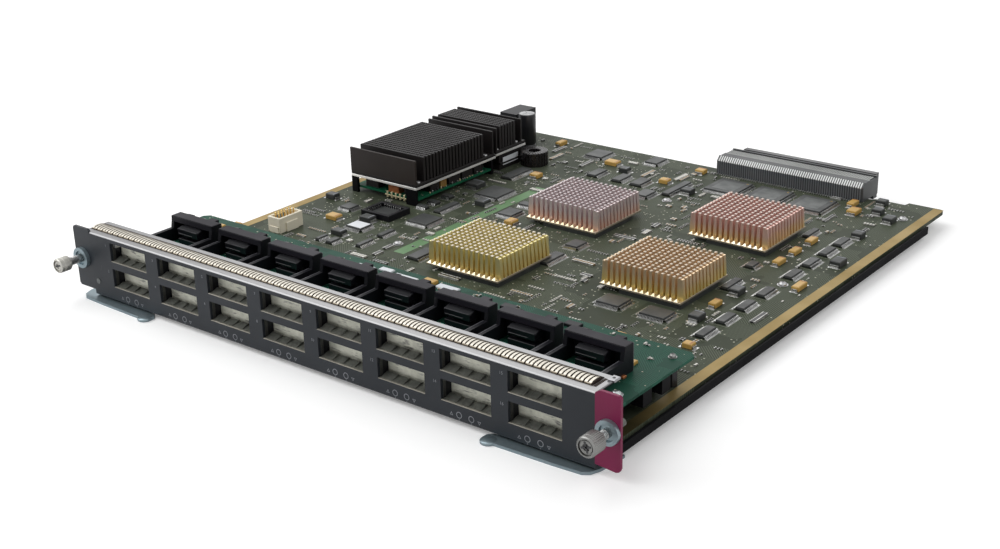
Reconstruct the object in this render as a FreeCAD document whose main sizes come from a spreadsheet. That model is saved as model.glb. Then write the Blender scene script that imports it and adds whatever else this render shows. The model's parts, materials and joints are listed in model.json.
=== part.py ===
import FreeCAD, Part
import math
import os
import re

import Sketcher
from FreeCAD import Placement, Rotation, Vector

# Chassis line card: a folded faceplate with sixteen ports in two rows, a daughter board that
# carries the upper row, and a long main board with power modules, cooled packages and the
# connector for the backplane. Lengths are in millimetres. Across runs along the faceplate from
# its left end, back runs from the faceplate's front face and up is measured from the line that
# the panel's end tabs stand on.

SIZES = [
    ("panel_width", 379), ("panel_thick", 1.6), ("panel_low", -3.7), ("panel_top", 34.9),
    ("flange_depth", 18), ("flange_thick", 1.2), ("foot_depth", 12), ("flange_left", 9.5),
    ("bend_radius", 1.4), ("end_width", 14.1), ("tab_low", -0.3), ("tab_top", 36.4),
    ("tab_corner", 1.2), ("leg_depth", 17), ("leg_thick", 1.4),
    ("rest_height", 5.8), ("centre_back", 191.7),
    ("port_left", 32.3), ("port_pitch", 40.65), ("port_width", 30.6), ("port_height", 11.2),
    ("upper_sill", 20.9), ("lower_sill", 5.2), ("port_count", 8),
    ("lip_depth", 6.4), ("lip_thick", 0.5),
    ("door_front", 7.3), ("door_thick", 0.8), ("door_gap", 0.35), ("hinge_rise", 0.15),
    ("slot_gap", 0.25), ("tang_reach", 1.2),
    ("wall_thick", 2.2), ("wall_front", 2.0), ("ear_back", 12.4), ("rail_top", 27),
    ("rail_end", 46.4), ("guide_top", 34.2), ("guide_back", 54.6), ("bar_front", 47.4),
    ("bar_low", 31.4), ("ear_top", 33.2), ("lower_guide_top", 17.4), ("hook_reach", 2.6),
    ("socket_width", 17), ("socket_front", 43.6), ("socket_height", 9.6), ("socket_slot", 2.2),
    ("slot_depth", 5),
    ("board_left", 12.4), ("board_right", 366.6), ("board_front", 2.6), ("board_low", 1.8),
    ("board_top", 4.2), ("board_back", 382), ("ear_start", 343), ("ear_end_back", 388.5),
    ("board_corner", 3),
    ("deck_left", 13.8), ("deck_right", 364.8), ("deck_low", 17.7), ("deck_top", 19.3),
    ("deck_back", 88),
    ("tray_low", -1.8), ("tray_sheet", 1.0), ("tray_front", 16), ("tray_back", 358),
    ("tray_right", 369), ("tray_left", 10), ("tray_rim", 1.4), ("rib_width", 6), ("rib_count", 7),
    ("gasket_front", 5), ("gasket_back", 13.8), ("gasket_crest", 36.5), ("gasket_strip", 35.2),
    ("finger_pitch", 4.66), ("finger_slot", 0.6), ("finger_count", 75), ("gasket_left", 11),
    ("screw_across", 6.2), ("screw_up", 17.9), ("knob_front", -18), ("left_knob_length", 7.5),
    ("right_knob_length", 9), ("left_knob_radius", 4.3), ("right_knob_radius", 5.2),
    ("knob_rim", 1.2), ("recess_depth", 0.8), ("neck_radius", 2.4),
    ("neck_end", 3.6), ("seat_radius", 2.1), ("thread_radius", 1.9), ("thread_end", 12.5),
    ("ring_radius", 6.2), ("ring_reach", 2.2), ("ferrule_tube", 4.4), ("ferrule_back", 3.0),
    ("fit_gap", 0.05), ("clip_radius", 3.7), ("clip_thick", 0.9),
    ("lever_low", -5.8), ("lever_thick", 1.6), ("left_pivot", 17), ("right_pivot", 354),
    ("pivot_back", 9.5),
    ("pivot_radius", 2),
    ("sink_span", 52), ("sink_depth", 48), ("sink_low", 6.8), ("sink_base", 1.8),
    ("sink_top", 21), ("pin_width", 2.8), ("pin_columns", 8), ("pin_rows", 6),
    ("package_size", 40), ("brick_left", 26.6), ("brick_right", 84),
    ("fin_pitch", 4.0), ("fin_thick", 1.3), ("fin_top", 35.4), ("fin_floor", 18.6),
    ("plate_low", 15.2),
    ("can_radius", 6.3), ("can_top", 30), ("coil_radius", 9.8), ("coil_bore", 4.2),
    ("coil_height", 10), ("edge_left", 210), ("edge_width", 109.5), ("edge_front", 372.4),
    ("edge_back", 394.5), ("edge_top", 16.7), ("rib_pitch", 5.2), ("shroud_back", 401.4),
    ("shroud_thick", 4.6), ("shroud_top", 18.3),
    ("chip_height", 2.2), ("slug_height", 3.0),
]

doc = FreeCAD.newDocument("line_card")
sheet = doc.addObject("Spreadsheet::Sheet", "Dims")
for row, (alias, size) in enumerate(SIZES, 1):
    sheet.set("A%d" % row, alias)
    sheet.set("B%d" % row, str(size))
    sheet.setAlias("B%d" % row, alias)
doc.recompute()
ALIASES = {alias for alias, size in SIZES}
parts = []


def formula(text):
    """The expression with every driving dimension read from the sheet."""
    return re.sub(r"[a-z_]+", lambda word: "Dims." + word[0] if word[0] in ALIASES else word[0], str(text))


def value(text):
    """The number that an expression gives now."""
    return float(sheet.evalExpression(formula(text)))


def link(item, field, text):
    item.setExpression(field, formula(text))


def put(item, across="0", back="0", up="0"):
    """Place an item by expressions, keeping its rotation."""
    for axis, text in (("x", across), ("y", back), ("z", up)):
        link(item, "Placement.Base." + axis, text)


def keep(item, across="0", back="0", up="0"):
    """Register a finished sub-part and set its place in the card's own frame."""
    put(item, across + " - panel_width / 2", back + " - centre_back", up + " + rest_height")
    parts.append(item)
    return item


def origin(body, role):
    return next(item for item in body.Origin.OriginFeatures if item.Role == role)


def new_body(label):
    body = doc.addObject("PartDesign::Body", label)
    body.Label = label
    body.AllowCompound = True
    return body


def new_sketch(body, name, role, offset="0"):
    """A sketch on one of the body's own planes, moved along that plane's normal."""
    sketch = body.newObject("Sketcher::SketchObject", body.Name + "_" + name)
    sketch.AttachmentSupport = [(origin(body, role), "")]
    sketch.MapMode = "FlatFace"
    link(sketch, "AttachmentOffset.Base.z", offset)
    return sketch


def outline(sketch, corners):
    """A closed polygon whose corners are pairs of expressions."""
    spots = [Vector(value(a), value(b), 0) for a, b in corners]
    first = sketch.GeometryCount
    count = len(spots)
    for i, spot in enumerate(spots):
        sketch.addGeometry(Part.LineSegment(spot, spots[(i + 1) % count]), False)
    for i in range(count):
        sketch.addConstraint(Sketcher.Constraint("Coincident", first + i, 2, first + (i + 1) % count, 1))
    for i, (a, b) in enumerate(corners):
        for kind, text, size in (("DistanceX", a, spots[i].x), ("DistanceY", b, spots[i].y)):
            number = sketch.addConstraint(Sketcher.Constraint(kind, -1, 1, first + i, 1, size))
            link(sketch, "Constraints[%d]" % number, text)


def rectangle(sketch, left, low, right, top):
    outline(sketch, [(left, low), (right, low), (right, top), (left, top)])


def circle(sketch, across, up, radius):
    spot = Vector(value(across), value(up), 0)
    item = sketch.addGeometry(Part.Circle(spot, Vector(0, 0, 1), value(radius)), False)
    for kind, text, size in (("DistanceX", across, spot.x), ("DistanceY", up, spot.y)):
        number = sketch.addConstraint(Sketcher.Constraint(kind, -1, 1, item, 3, size))
        link(sketch, "Constraints[%d]" % number, text)
    number = sketch.addConstraint(Sketcher.Constraint("Radius", item, value(radius)))
    link(sketch, "Constraints[%d]" % number, radius)


def ring_points(radius, count, middle="0"):
    """Corners of a regular polygon round (0, middle), as pairs of expressions."""
    turns = [(math.cos(2 * math.pi * i / count), math.sin(2 * math.pi * i / count)) for i in range(count)]
    return [("%.6f * (%s)" % (a, radius), "%.6f * (%s) + %s" % (b, radius, middle)) for a, b in turns]


def pad(body, name, sketch, length, reverse=False):
    item = body.newObject("PartDesign::Pad", body.Name + "_" + name)
    item.Profile = sketch
    item.Reversed = reverse
    item.Refine = False
    link(item, "Length", length)
    return item


def pocket(body, name, sketch, length, reverse=False):
    """Cut, and make sure that the cut has met the solid."""
    doc.recompute()
    before = body.Shape.Volume
    item = body.newObject("PartDesign::Pocket", body.Name + "_" + name)
    item.Profile = sketch
    item.Reversed = reverse
    item.Refine = False
    link(item, "Length", length)
    doc.recompute()
    if not body.Shape.Volume < before - 1e-6:
        raise RuntimeError("empty cut " + item.Name)
    return item


def revolve(body, name, sketch, role):
    item = body.newObject("PartDesign::Revolution", body.Name + "_" + name)
    item.Profile = sketch
    item.ReferenceAxis = (origin(body, role), [""])
    item.Angle = 360
    return item


def repeat(body, name, features, role, step, count, second=None):
    """A row, or with a second (role, step, count) a grid, of the features."""
    item = body.newObject("PartDesign::LinearPattern", body.Name + "_" + name)
    item.Originals = features
    item.Direction = (origin(body, role), [""])
    item.Refine = False
    link(item, "Length", "(%s) * (%s - 1)" % (step, count))
    link(item, "Occurrences", count)
    if second:
        item.Direction2 = (origin(body, second[0]), [""])
        link(item, "Length2", "(%s) * (%s - 1)" % second[1:])
        link(item, "Occurrences2", second[2])
    body.Tip = item
    return item


def edges_where(shape, test):
    return ["Edge%d" % (i + 1) for i, edge in enumerate(shape.Edges) if test(edge)]


def along(edge, axis):
    """True for a straight edge that runs along the axis."""
    if not isinstance(edge.Curve, Part.Line):
        return False
    return abs(abs(edge.Curve.Direction.dot(axis)) - 1) < 1e-6


def soften(body, name, radius, test):
    """Round the edges that pass the test."""
    doc.recompute()
    base = body.Tip
    item = body.newObject("PartDesign::Fillet", body.Name + "_" + name)
    item.Base = (base, edges_where(base.Shape, test))
    link(item, "Radius", radius)
    body.Tip = item
    return item


def block(name, across, back, up, length, width, height):
    """A rectangular solid, in card coordinates."""
    item = doc.addObject("Part::Box", name)
    link(item, "Length", length)
    link(item, "Width", width)
    link(item, "Height", height)
    put(item, across, back, up)
    return item


def rod(name, across, back, up, radius, height, rotation=None):
    item = doc.addObject("Part::Cylinder", name)
    link(item, "Radius", radius)
    link(item, "Height", height)
    if rotation:
        item.Placement = Placement(Vector(), rotation)
    put(item, across, back, up)
    return item


def group(label, items):
    """Separate like solids that count as one sub-part."""
    item = doc.addObject("Part::Compound", label)
    item.Links = items
    item.Label = label
    return keep(item)


X_WAY, Z_WAY = Vector(1, 0, 0), Vector(0, 0, 1)
KNURLS = 24
COIL_TURNS = 20


def make_faceplate():
    """One sheet folded to a channel, with two rows of port openings and a sill lip in each."""
    body = new_body("faceplate")
    profile = new_sketch(body, "profile", "YZ_Plane", "end_width")
    outline(profile, [
        ("0", "panel_low"), ("foot_depth", "panel_low"), ("foot_depth", "panel_low + flange_thick"),
        ("panel_thick", "panel_low + flange_thick"), ("panel_thick", "panel_top - flange_thick"),
        ("flange_depth", "panel_top - flange_thick"), ("flange_depth", "panel_top"), ("0", "panel_top")])
    pad(body, "channel", profile, "panel_width - 2 * end_width + 0.4")
    wing = new_sketch(body, "wing_profile", "YZ_Plane", "flange_left")
    rectangle(wing, "panel_thick + 0.2", "panel_top - flange_thick", "flange_depth", "panel_top")
    pad(body, "wing", wing, "end_width - flange_left + 0.01")
    soften(body, "bends", "bend_radius", lambda edge: along(edge, X_WAY) and edge.Length > 300
           and abs(edge.CenterOfMass.y) < 0.01)
    cut = new_sketch(body, "port_outline", "XZ_Plane", "-panel_thick - 0.1")
    for sill in ("upper_sill", "lower_sill"):
        rectangle(cut, "port_left", sill, "port_left + port_width", sill + " + port_height")
    first = pocket(body, "port", cut, "panel_thick + 0.2", reverse=True)
    repeat(body, "ports", [first], "X_Axis", "port_pitch", "port_count")
    lip = new_sketch(body, "lip_profile", "YZ_Plane", "port_left")
    for sill in ("upper_sill", "lower_sill"):
        rectangle(lip, "panel_thick - 0.4", sill + " - lip_thick", "lip_depth", sill)
    one = pad(body, "lip", lip, "port_width")
    repeat(body, "lips", [one], "X_Axis", "port_pitch", "port_count")
    keep(body)


def make_end_bracket(label, corners, screw, leg):
    """An end tab with the hole for its captive screw and a leg that runs back beside the board."""
    body = new_body(label)
    face = new_sketch(body, "face", "XZ_Plane", "-panel_thick")
    outline(face, corners)
    circle(face, screw, "screw_up", "ferrule_tube")
    pad(body, "plate", face, "panel_thick")
    side = new_sketch(body, "side", "YZ_Plane", leg)
    outline(side, [("panel_thick - 0.2", "board_top"), ("leg_depth", "board_top"),
                   ("leg_depth", "deck_low - 3"), ("leg_depth - 5", "tab_top - 6"),
                   ("panel_thick - 0.2", "tab_top - 6")])
    pad(body, "leg", side, "leg_thick")
    keep(body)


def make_end_brackets():
    left = [("0", "tab_low + tab_corner"), ("tab_corner", "tab_low"), ("end_width", "tab_low"),
            ("end_width", "tab_top - tab_corner"), ("end_width - tab_corner", "tab_top"),
            ("tab_corner", "tab_top"), ("0", "tab_top - tab_corner")]
    make_end_bracket("left_end_bracket", left, "screw_across", "end_width - leg_thick")
    edge = "panel_width - end_width + 0.4"
    right = [(edge, "tab_low - 0.2"), ("panel_width - 2.4", "tab_low - 1.2"),
             ("panel_width - 0.7", "tab_low - 0.5"), ("panel_width", "tab_low + 1.2"),
             ("panel_width", "tab_top - 0.9"), ("panel_width - 1", "tab_top + 0.2"),
             (edge + " + 2.6", "tab_top + 0.2"), (edge, "tab_top - 1.5")]
    make_end_bracket("right_end_bracket", right, "panel_width - screw_across", edge)


def turned(label, across, up, profile):
    """A solid of revolution about an axis that runs back through the panel."""
    body = new_body(label)
    sketch = new_sketch(body, "profile", "XY_Plane")
    outline(sketch, profile)
    revolve(body, "turning", sketch, "Y_Axis")
    return keep(body, across, "0", up)


def make_captive_screws():
    """Each screw runs in a ferrule pressed into the end tab, and a clip keeps it there."""
    ferrule = [("neck_radius + fit_gap", "-ring_reach / 2"), ("ferrule_tube", "-ring_reach / 2"),
               ("ferrule_tube", "ferrule_back"), ("neck_radius + fit_gap", "ferrule_back")]
    clip = [("seat_radius + fit_gap", "neck_end"), ("clip_radius", "neck_end"),
            ("clip_radius", "neck_end + clip_thick"), ("seat_radius + fit_gap", "neck_end + clip_thick")]
    screw = [("0", "knob_front + recess_depth + 1"), ("neck_radius", "knob_front + recess_depth + 1"),
             ("neck_radius", "neck_end - 0.1"), ("seat_radius", "neck_end - 0.1"),
             ("seat_radius", "neck_end + clip_thick + 0.2"),
             ("thread_radius", "neck_end + clip_thick + 0.2"),
             ("thread_radius", "thread_end - 1"), ("0", "thread_end")]
    for side, across in (("left", "screw_across"), ("right", "panel_width - screw_across")):
        sleeve = turned(side + "_screw_ferrule", across, "screw_up", ferrule)
        ring = new_sketch(sleeve, "ring", "XZ_Plane")
        outline(ring, ring_points("ring_radius", KNURLS))
        circle(ring, "0", "0", "ferrule_tube - 0.2")
        pad(sleeve, "flange", ring, "ring_reach")
        turned(side + "_screw_clip", across, "screw_up", clip)
        body = turned(side + "_captive_screw", across, "screw_up", screw)
        length, radius = side + "_knob_length", side + "_knob_radius"
        knob = new_sketch(body, "knurl", "XZ_Plane", "-knob_front - " + length)
        outline(knob, ring_points(radius, KNURLS))
        pad(body, "knob", knob, length)
        recess = new_sketch(body, "recess", "XZ_Plane", "-knob_front - recess_depth")
        outline(recess, ring_points(radius + " - knob_rim", KNURLS))
        pocket(body, "recess_cut", recess, "recess_depth + 1", reverse=True)
        slot = new_sketch(body, "slot", "XZ_Plane", "-knob_front - recess_depth - 1")
        rectangle(slot, "2 * knob_rim - " + radius, "-0.5", radius + " - 2 * knob_rim", "0.5")
        pocket(body, "driver_slot", slot, "2", reverse=True)


def make_levers():
    """Flat ejector levers that turn on rivets in the panel's foot, with a claw for the chassis."""
    arm = [("-41", "-15.6"), ("-48", "-17.2"), ("-49.5", "-15.4"), ("-49.5", "-10.5"), ("-47", "-8"),
           ("-10", "-6"), ("-7.5", "0"), ("-5", "5.5"), ("0", "7.5"), ("6", "5.5"), ("9.2", "10.5"),
           ("14.2", "10.5"), ("13.2", "2"), ("12.4", "-6"), ("10.2", "-11.6"), ("7", "-13.8"),
           ("-10", "-14.8")]
    for side, sign in (("left", -1), ("right", 1)):
        body = new_body(side + "_ejector_lever")
        plan = new_sketch(body, "plan", "XY_Plane")
        outline(plan, [("%d * (%s)" % (sign, a), b) for a, b in arm])
        circle(plan, "0", "0", "pivot_radius + fit_gap")
        pad(body, "plate", plan, "lever_thick")
        soften(body, "corners", "1.6", lambda edge: along(edge, Z_WAY)
               and edge.CenterOfMass.x * sign < -46.5)
        keep(body, side + "_pivot", "pivot_back", "lever_low")


def make_pivots():
    """Rivets in the panel's foot that the levers turn on."""
    pins = []
    for side in ("left", "right"):
        pins.append(rod(side + "_rivet", side + "_pivot", "pivot_back", "lever_low + 0.1", "pivot_radius",
                        "panel_low - lever_low - 0.1"))
    group("ejector_pivots", pins)


def make_gasket():
    """A row of bowed spring fingers that run along the top flange."""
    body = new_body("emi_gasket")
    profile = new_sketch(body, "profile", "YZ_Plane", "gasket_left")
    outline(profile, [
        ("gasket_front", "panel_top"), ("gasket_back", "panel_top"), ("gasket_back", "gasket_strip"),
        ("gasket_back - 2.8", "gasket_crest"), ("gasket_front + 2.4", "gasket_crest"),
        ("gasket_front", "gasket_strip")])
    pad(body, "strip", profile, "finger_pitch * finger_count - finger_slot")
    slot = new_sketch(body, "slot", "YZ_Plane", "gasket_left + finger_pitch - finger_slot")
    rectangle(slot, "gasket_front - 1", "gasket_strip", "gasket_back + 1", "gasket_crest + 1")
    first = pocket(body, "gap", slot, "finger_slot", reverse=True)
    repeat(body, "gaps", [first], "X_Axis", "finger_pitch", "finger_count - 1")
    keep(body)


def make_main_board():
    """The long board, with an ear beside the backplane connector."""
    body = new_body("main_board")
    plan = new_sketch(body, "plan", "XY_Plane", "board_low")
    outline(plan, [
        ("board_left", "board_front"), ("board_right", "board_front"), ("board_right", "ear_end_back"),
        ("ear_start", "ear_end_back"), ("ear_start - 1", "board_back + 2"),
        ("ear_start - 21", "board_back + 2"), ("ear_start - 23", "board_back"),
        ("board_left", "board_back")])
    pad(body, "laminate", plan, "board_top - board_low")
    soften(body, "corners", "board_corner", lambda edge: along(edge, Z_WAY)
           and edge.CenterOfMass.y > 380 and abs(edge.CenterOfMass.x - 189.5) > 170)
    keep(body)


def make_daughter_board():
    """The upper deck behind the faceplate, which carries the upper row of ports."""
    body = new_body("daughter_board")
    plan = new_sketch(body, "plan", "XY_Plane", "deck_low")
    outline(plan, [
        ("deck_left", "board_front + 15"), ("deck_left + 4", "board_front + 15"),
        ("deck_left + 4", "board_front"), ("deck_right - 4", "board_front"),
        ("deck_right - 4", "board_front + 15"), ("deck_right", "board_front + 15"),
        ("deck_right", "deck_back - 3"), ("deck_right - 3", "deck_back"), ("deck_left + 3", "deck_back"),
        ("deck_left", "deck_back - 3")])
    pad(body, "laminate", plan, "deck_top - deck_low")
    keep(body)


def make_tray():
    """The folded sheet under the main board, stiffened by ribs that touch the board."""
    body = new_body("carrier_tray")
    profile = new_sketch(body, "profile", "XZ_Plane", "-tray_front")
    outline(profile, [
        ("tray_left", "tray_low"), ("tray_right", "tray_low"), ("tray_right", "board_low + 1"),
        ("tray_right - tray_rim", "board_low + 1"), ("tray_right - tray_rim", "tray_low + tray_sheet"),
        ("tray_left + tray_rim", "tray_low + tray_sheet"), ("tray_left + tray_rim", "board_low + 1"),
        ("tray_left", "board_low + 1")])
    pad(body, "sheet", profile, "tray_back - tray_front", reverse=True)
    rib = new_sketch(body, "rib", "XY_Plane", "tray_low + tray_sheet / 2")
    rectangle(rib, "tray_left + 20", "tray_front + 20", "tray_right - 20", "tray_front + 20 + rib_width")
    first = pad(body, "rib_pad", rib, "board_low - tray_low - tray_sheet / 2")
    repeat(body, "ribs", [first], "Y_Axis", "(tray_back - tray_front - 46) / (rib_count - 1)", "rib_count")
    keep(body)


def make_guides(label, floor, ears, walls, hinge):
    """Side walls that lead a transceiver in, with slotted ears that hold its door's tangs."""
    body = new_body(label)
    slot = "door_front + door_thick / 2"
    wide = "(door_thick / 2 + slot_gap)"
    shape = [
        ("wall_front", floor), ("wall_front", ears), ("%s - %s" % (slot, wide), ears),
        ("%s - %s" % (slot, wide), hinge + " - " + wide), ("%s + %s" % (slot, wide), hinge + " - " + wide),
        ("%s + %s" % (slot, wide), ears), ("ear_back", ears)] + walls + [("guide_back", floor)]
    left = new_sketch(body, "left_side", "YZ_Plane", "port_left - wall_thick")
    outline(left, shape)
    right = new_sketch(body, "right_side", "YZ_Plane", "port_left + port_width")
    outline(right, shape)
    walls = [pad(body, "left_wall", left, "wall_thick"), pad(body, "right_wall", right, "wall_thick")]
    return body, walls


def make_port_guides():
    """The upper guides rise behind the port to a bar over the socket, with two rear hooks."""
    rise = [("ear_back + 2", "rail_top"), ("rail_end", "rail_top"), ("rail_end + 1.4", "guide_top"),
            ("guide_back", "guide_top")]
    hinge = "upper_sill + port_height + hinge_rise"
    body, pads = make_guides("upper_port_guides", "deck_top", "ear_top", rise, hinge)
    bar = new_sketch(body, "bar_profile", "YZ_Plane", "port_left - 0.1")
    outline(bar, [("bar_front", "bar_low + 0.6"), ("bar_front + 0.6", "bar_low"),
                  ("guide_back - 2", "bar_low"), ("guide_back - 2", "deck_top"), ("guide_back", "deck_top"),
                  ("guide_back", "guide_top"), ("bar_front + 0.6", "guide_top"),
                  ("bar_front", "guide_top - 0.6")])
    pads.append(pad(body, "bar", bar, "port_width + 0.2"))
    for name, across in (("near", "port_left + 3"), ("far", "port_left + port_width - 6")):
        hook = new_sketch(body, name + "_hook", "YZ_Plane", across)
        outline(hook, [("guide_back - 0.2", "guide_top - 3"), ("guide_back + hook_reach", "guide_top - 3"),
                       ("guide_back + hook_reach", "guide_top - 1"), ("guide_back - 0.2", "guide_top")])
        pads.append(pad(body, name + "_hook_pad", hook, "3"))
    repeat(body, "row", pads, "X_Axis", "port_pitch", "port_count")
    keep(body)


def make_lower_guides():
    """The lower guides are plain walls between the two boards."""
    hinge = "lower_sill + port_height + hinge_rise"
    flat = [("guide_back", "lower_guide_top")]
    body, pads = make_guides("lower_port_guides", "board_top", "lower_guide_top", flat, hinge)
    repeat(body, "row", pads, "X_Axis", "port_pitch", "port_count")
    keep(body)


def make_port_sockets():
    """The card-edge sockets at the back of each port."""
    body = new_body("port_sockets")
    pads = []
    for row, floor in (("upper", "deck_top"), ("lower", "board_top")):
        side = new_sketch(body, row + "_side", "YZ_Plane", "port_left + (port_width - socket_width) / 2")
        top = floor + " + socket_height"
        slot_top = floor + " + (socket_height + socket_slot) / 2"
        slot_low = floor + " + (socket_height - socket_slot) / 2"
        outline(side, [
            ("socket_front", floor), ("guide_back - 2.2", floor), ("guide_back - 2.2", top + " + 1"),
            ("socket_front + 3.6", top + " + 1"), ("socket_front", top), ("socket_front", slot_top),
            ("socket_front + slot_depth", slot_top), ("socket_front + slot_depth", slot_low),
            ("socket_front", slot_low)])
        pads.append(pad(body, row, side, "socket_width"))
    repeat(body, "row", pads, "X_Axis", "port_pitch", "port_count")
    keep(body)


def make_door(label, sill, number):
    """A stamped spring flap that hangs from a square tang at each end of its top edge."""
    body = new_body(label)
    leaf = new_sketch(body, "leaf", "YZ_Plane", "door_gap")
    rectangle(leaf, "-door_thick / 2", "-port_height - hinge_rise + door_gap", "door_thick / 2", "0")
    pad(body, "flap", leaf, "port_width - 2 * door_gap")
    tang = new_sketch(body, "tang", "YZ_Plane", "-tang_reach")
    rectangle(tang, "-door_thick / 2", "-door_thick / 2", "door_thick / 2", "door_thick / 2")
    pad(body, "tangs", tang, "port_width + 2 * tang_reach")
    keep(body, "port_left + %d * port_pitch" % number, "door_front + door_thick / 2",
         "%s + port_height + hinge_rise" % sill)


def make_doors():
    for row, sill in (("upper", "upper_sill"), ("lower", "lower_sill")):
        for number in range(int(value("port_count"))):
            make_door("%s_door_%d" % (row, number + 1), sill, number)


def make_heatsink(label, across, back):
    """A square plate with a field of square pins; the outer pins reach the plate's edge."""
    body = new_body(label)
    plate = new_sketch(body, "plan", "XY_Plane")
    rectangle(plate, "0", "0", "sink_span + 2", "sink_depth + 3.4")
    pad(body, "plate", plate, "sink_base")
    pin = new_sketch(body, "pin", "XY_Plane", "sink_base - 0.1")
    rectangle(pin, "1", "2.4", "1 + pin_width", "2.4 + pin_width")
    first = pad(body, "pin_pad", pin, "sink_top - sink_low - sink_base + 0.1")
    repeat(body, "pins", [first], "X_Axis", "(sink_span - pin_width) / (pin_columns - 1)", "pin_columns",
           ("Y_Axis", "(sink_depth - pin_width) / (pin_rows - 1)", "pin_rows"))
    keep(body, across + " - 1", back + " - 2.4", "sink_low")


# Front left corner of each heatsink's pin field.
HEATSINKS = [("159", "128.4"), ("160", "224"), ("259.4", "160.6"), ("259.4", "255.4")]


def make_heatsinks():
    packages = []
    for number, (across, back) in enumerate(HEATSINKS, 1):
        make_heatsink("pin_heatsink_%d" % number, across, back)
        left = across + " + sink_span - package_size + 1"
        packages.append(block("package_%d" % number, left, back + " - 2.2", "board_top",
                              "package_size", "package_size", "sink_low - board_top"))
    group("cooled_packages", packages)


def make_power_module(number, front, plates, fins, lift):
    """A finned cover on a metal plate, over a small board; plates lists the two end plates."""
    base = new_body("power_module_%d" % number)
    plan = new_sketch(base, "plan", "XY_Plane", "board_top + 3 + " + lift)
    rectangle(plan, "brick_left + 1", front, "brick_right - 1", plates[1] + " - 0.5")
    pad(base, "small_board", plan, "1.4")
    block_plan = new_sketch(base, "core_plan", "XY_Plane", "board_top + 4.3 + " + lift)
    rectangle(block_plan, "brick_left + 9", front + " + 12", "brick_right - 10", plates[1] + " - 2")
    pad(base, "core", block_plan, "plate_low - board_top - 4.3")
    keep(base)
    cover = new_body("power_heatsink_%d" % number)
    floor = new_sketch(cover, "floor", "XY_Plane", "plate_low + " + lift)
    rectangle(floor, "brick_left", front, "brick_right", plates[1] + " + 4")
    pad(cover, "plate", floor, "fin_floor - plate_low")
    wall = new_sketch(cover, "wall", "XY_Plane", "fin_floor - 0.1 + " + lift)
    for start in plates:
        rectangle(wall, "brick_left", start, "brick_right", start + " + fin_thick")
    pad(cover, "end_plates", wall, "fin_top - fin_floor")
    fin = new_sketch(cover, "fin", "XY_Plane", "fin_floor - 0.1 + " + lift)
    rectangle(fin, "brick_left + 1", fins[0], "brick_right - 1", fins[0] + " + fin_thick")
    first = pad(cover, "fin_pad", fin, "fin_top - fin_floor")
    repeat(cover, "fins", [first], "Y_Axis", "fin_pitch", fins[1])
    keep(cover)


def make_power_section():
    make_power_module(1, "206.2", ("203.8", "283.5"), ("213", "17"), "0")
    make_power_module(2, "294", ("295", "319.6"), ("299", "5"), "1")
    legs = [block("leg_front_left", "26.7", "203.8", "board_top", "5", "2", "11"),
            block("leg_front_right", "75", "203.8", "board_top", "9", "1.6", "11"),
            block("leg_rear_left", "29", "283.6", "board_top", "5", "2", "11"),
            block("leg_rear_right", "76", "283.6", "board_top", "7", "2", "11")]
    group("module_legs", legs)
    keep(block("filter_block", "0", "0", "0", "14.5", "24", "24"), "43.5", "345", "board_top")


def make_round_parts():
    can = new_body("electrolytic_capacitor")
    profile = new_sketch(can, "profile", "XZ_Plane")
    outline(profile, [
        ("0", "0"), ("can_radius", "0"), ("can_radius", "can_top - board_top"),
        ("0", "can_top - board_top")])
    revolve(can, "turning", profile, "Z_Axis")
    keep(can, "65.5", "348.4", "board_top")
    coil = new_body("toroid_inductor")
    ring = new_sketch(coil, "plan", "XY_Plane")
    outline(ring, ring_points("coil_radius", COIL_TURNS))
    outline(ring, ring_points("coil_bore", COIL_TURNS))
    pad(coil, "winding", ring, "coil_height")
    keep(coil, "93", "320", "board_top")


def make_backplane_connector():
    """A ribbed housing along the rear edge and the shroud that enters the chassis."""
    body = new_body("backplane_connector")
    side = new_sketch(body, "side", "YZ_Plane", "edge_left")
    outline(side, [
        ("edge_front", "board_top"), ("board_back + 0.4", "board_top"), ("board_back + 0.4", "board_low"),
        ("edge_back", "board_low"), ("edge_back", "edge_top"), ("edge_front + 3", "edge_top"),
        ("edge_front", "edge_top - 3")])
    pad(body, "housing", side, "edge_width")
    cut = new_sketch(body, "groove", "YZ_Plane", "edge_left + rib_pitch * 0.7")
    rectangle(cut, "edge_front - 1", "edge_top - 3.6", "edge_front + 5", "edge_top + 1")
    first = pocket(body, "groove_cut", cut, "rib_pitch * 0.45", reverse=True)
    repeat(body, "grooves", [first], "X_Axis", "rib_pitch", "20")
    keep(body)
    shroud = new_body("backplane_shroud")
    profile = new_sketch(shroud, "side", "YZ_Plane", "edge_left + 7")
    outline(profile, [
        ("edge_back", "board_low"), ("shroud_back", "board_low"), ("shroud_back", "shroud_top"),
        ("shroud_back - shroud_thick", "shroud_top"), ("shroud_back - shroud_thick", "board_low + 2"),
        ("edge_back", "board_low + 2")])
    pad(shroud, "plate", profile, "edge_width - 7.5")
    keep(shroud)


def make_header():
    """An open-topped ivory header with a latch notch and two rows of pins."""
    body = new_body("header_housing")
    plan = new_sketch(body, "plan", "XY_Plane", "board_top")
    rectangle(plan, "35.8", "117.3", "46.5", "137.3")
    pad(body, "body_pad", plan, "9.8")
    well = new_sketch(body, "well", "XY_Plane", "board_top + 2")
    rectangle(well, "37.2", "118.7", "45.1", "135.9")
    pocket(body, "well_cut", well, "9.8", reverse=True)
    notch = new_sketch(body, "notch", "XY_Plane", "board_top + 5.2")
    rectangle(notch, "35", "122.5", "38", "131.5")
    pocket(body, "notch_cut", notch, "9.8", reverse=True)
    keep(body)
    pins = []
    for line, across in enumerate(("39.4", "42.2")):
        for number in range(6):
            pins.append(block("header_pin_%d_%d" % (line, number), across, "120.4 + %d * 2.54" % number,
                              "board_top + 2", "0.7", "0.7", "10"))
    group("header_pins", pins)


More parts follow.
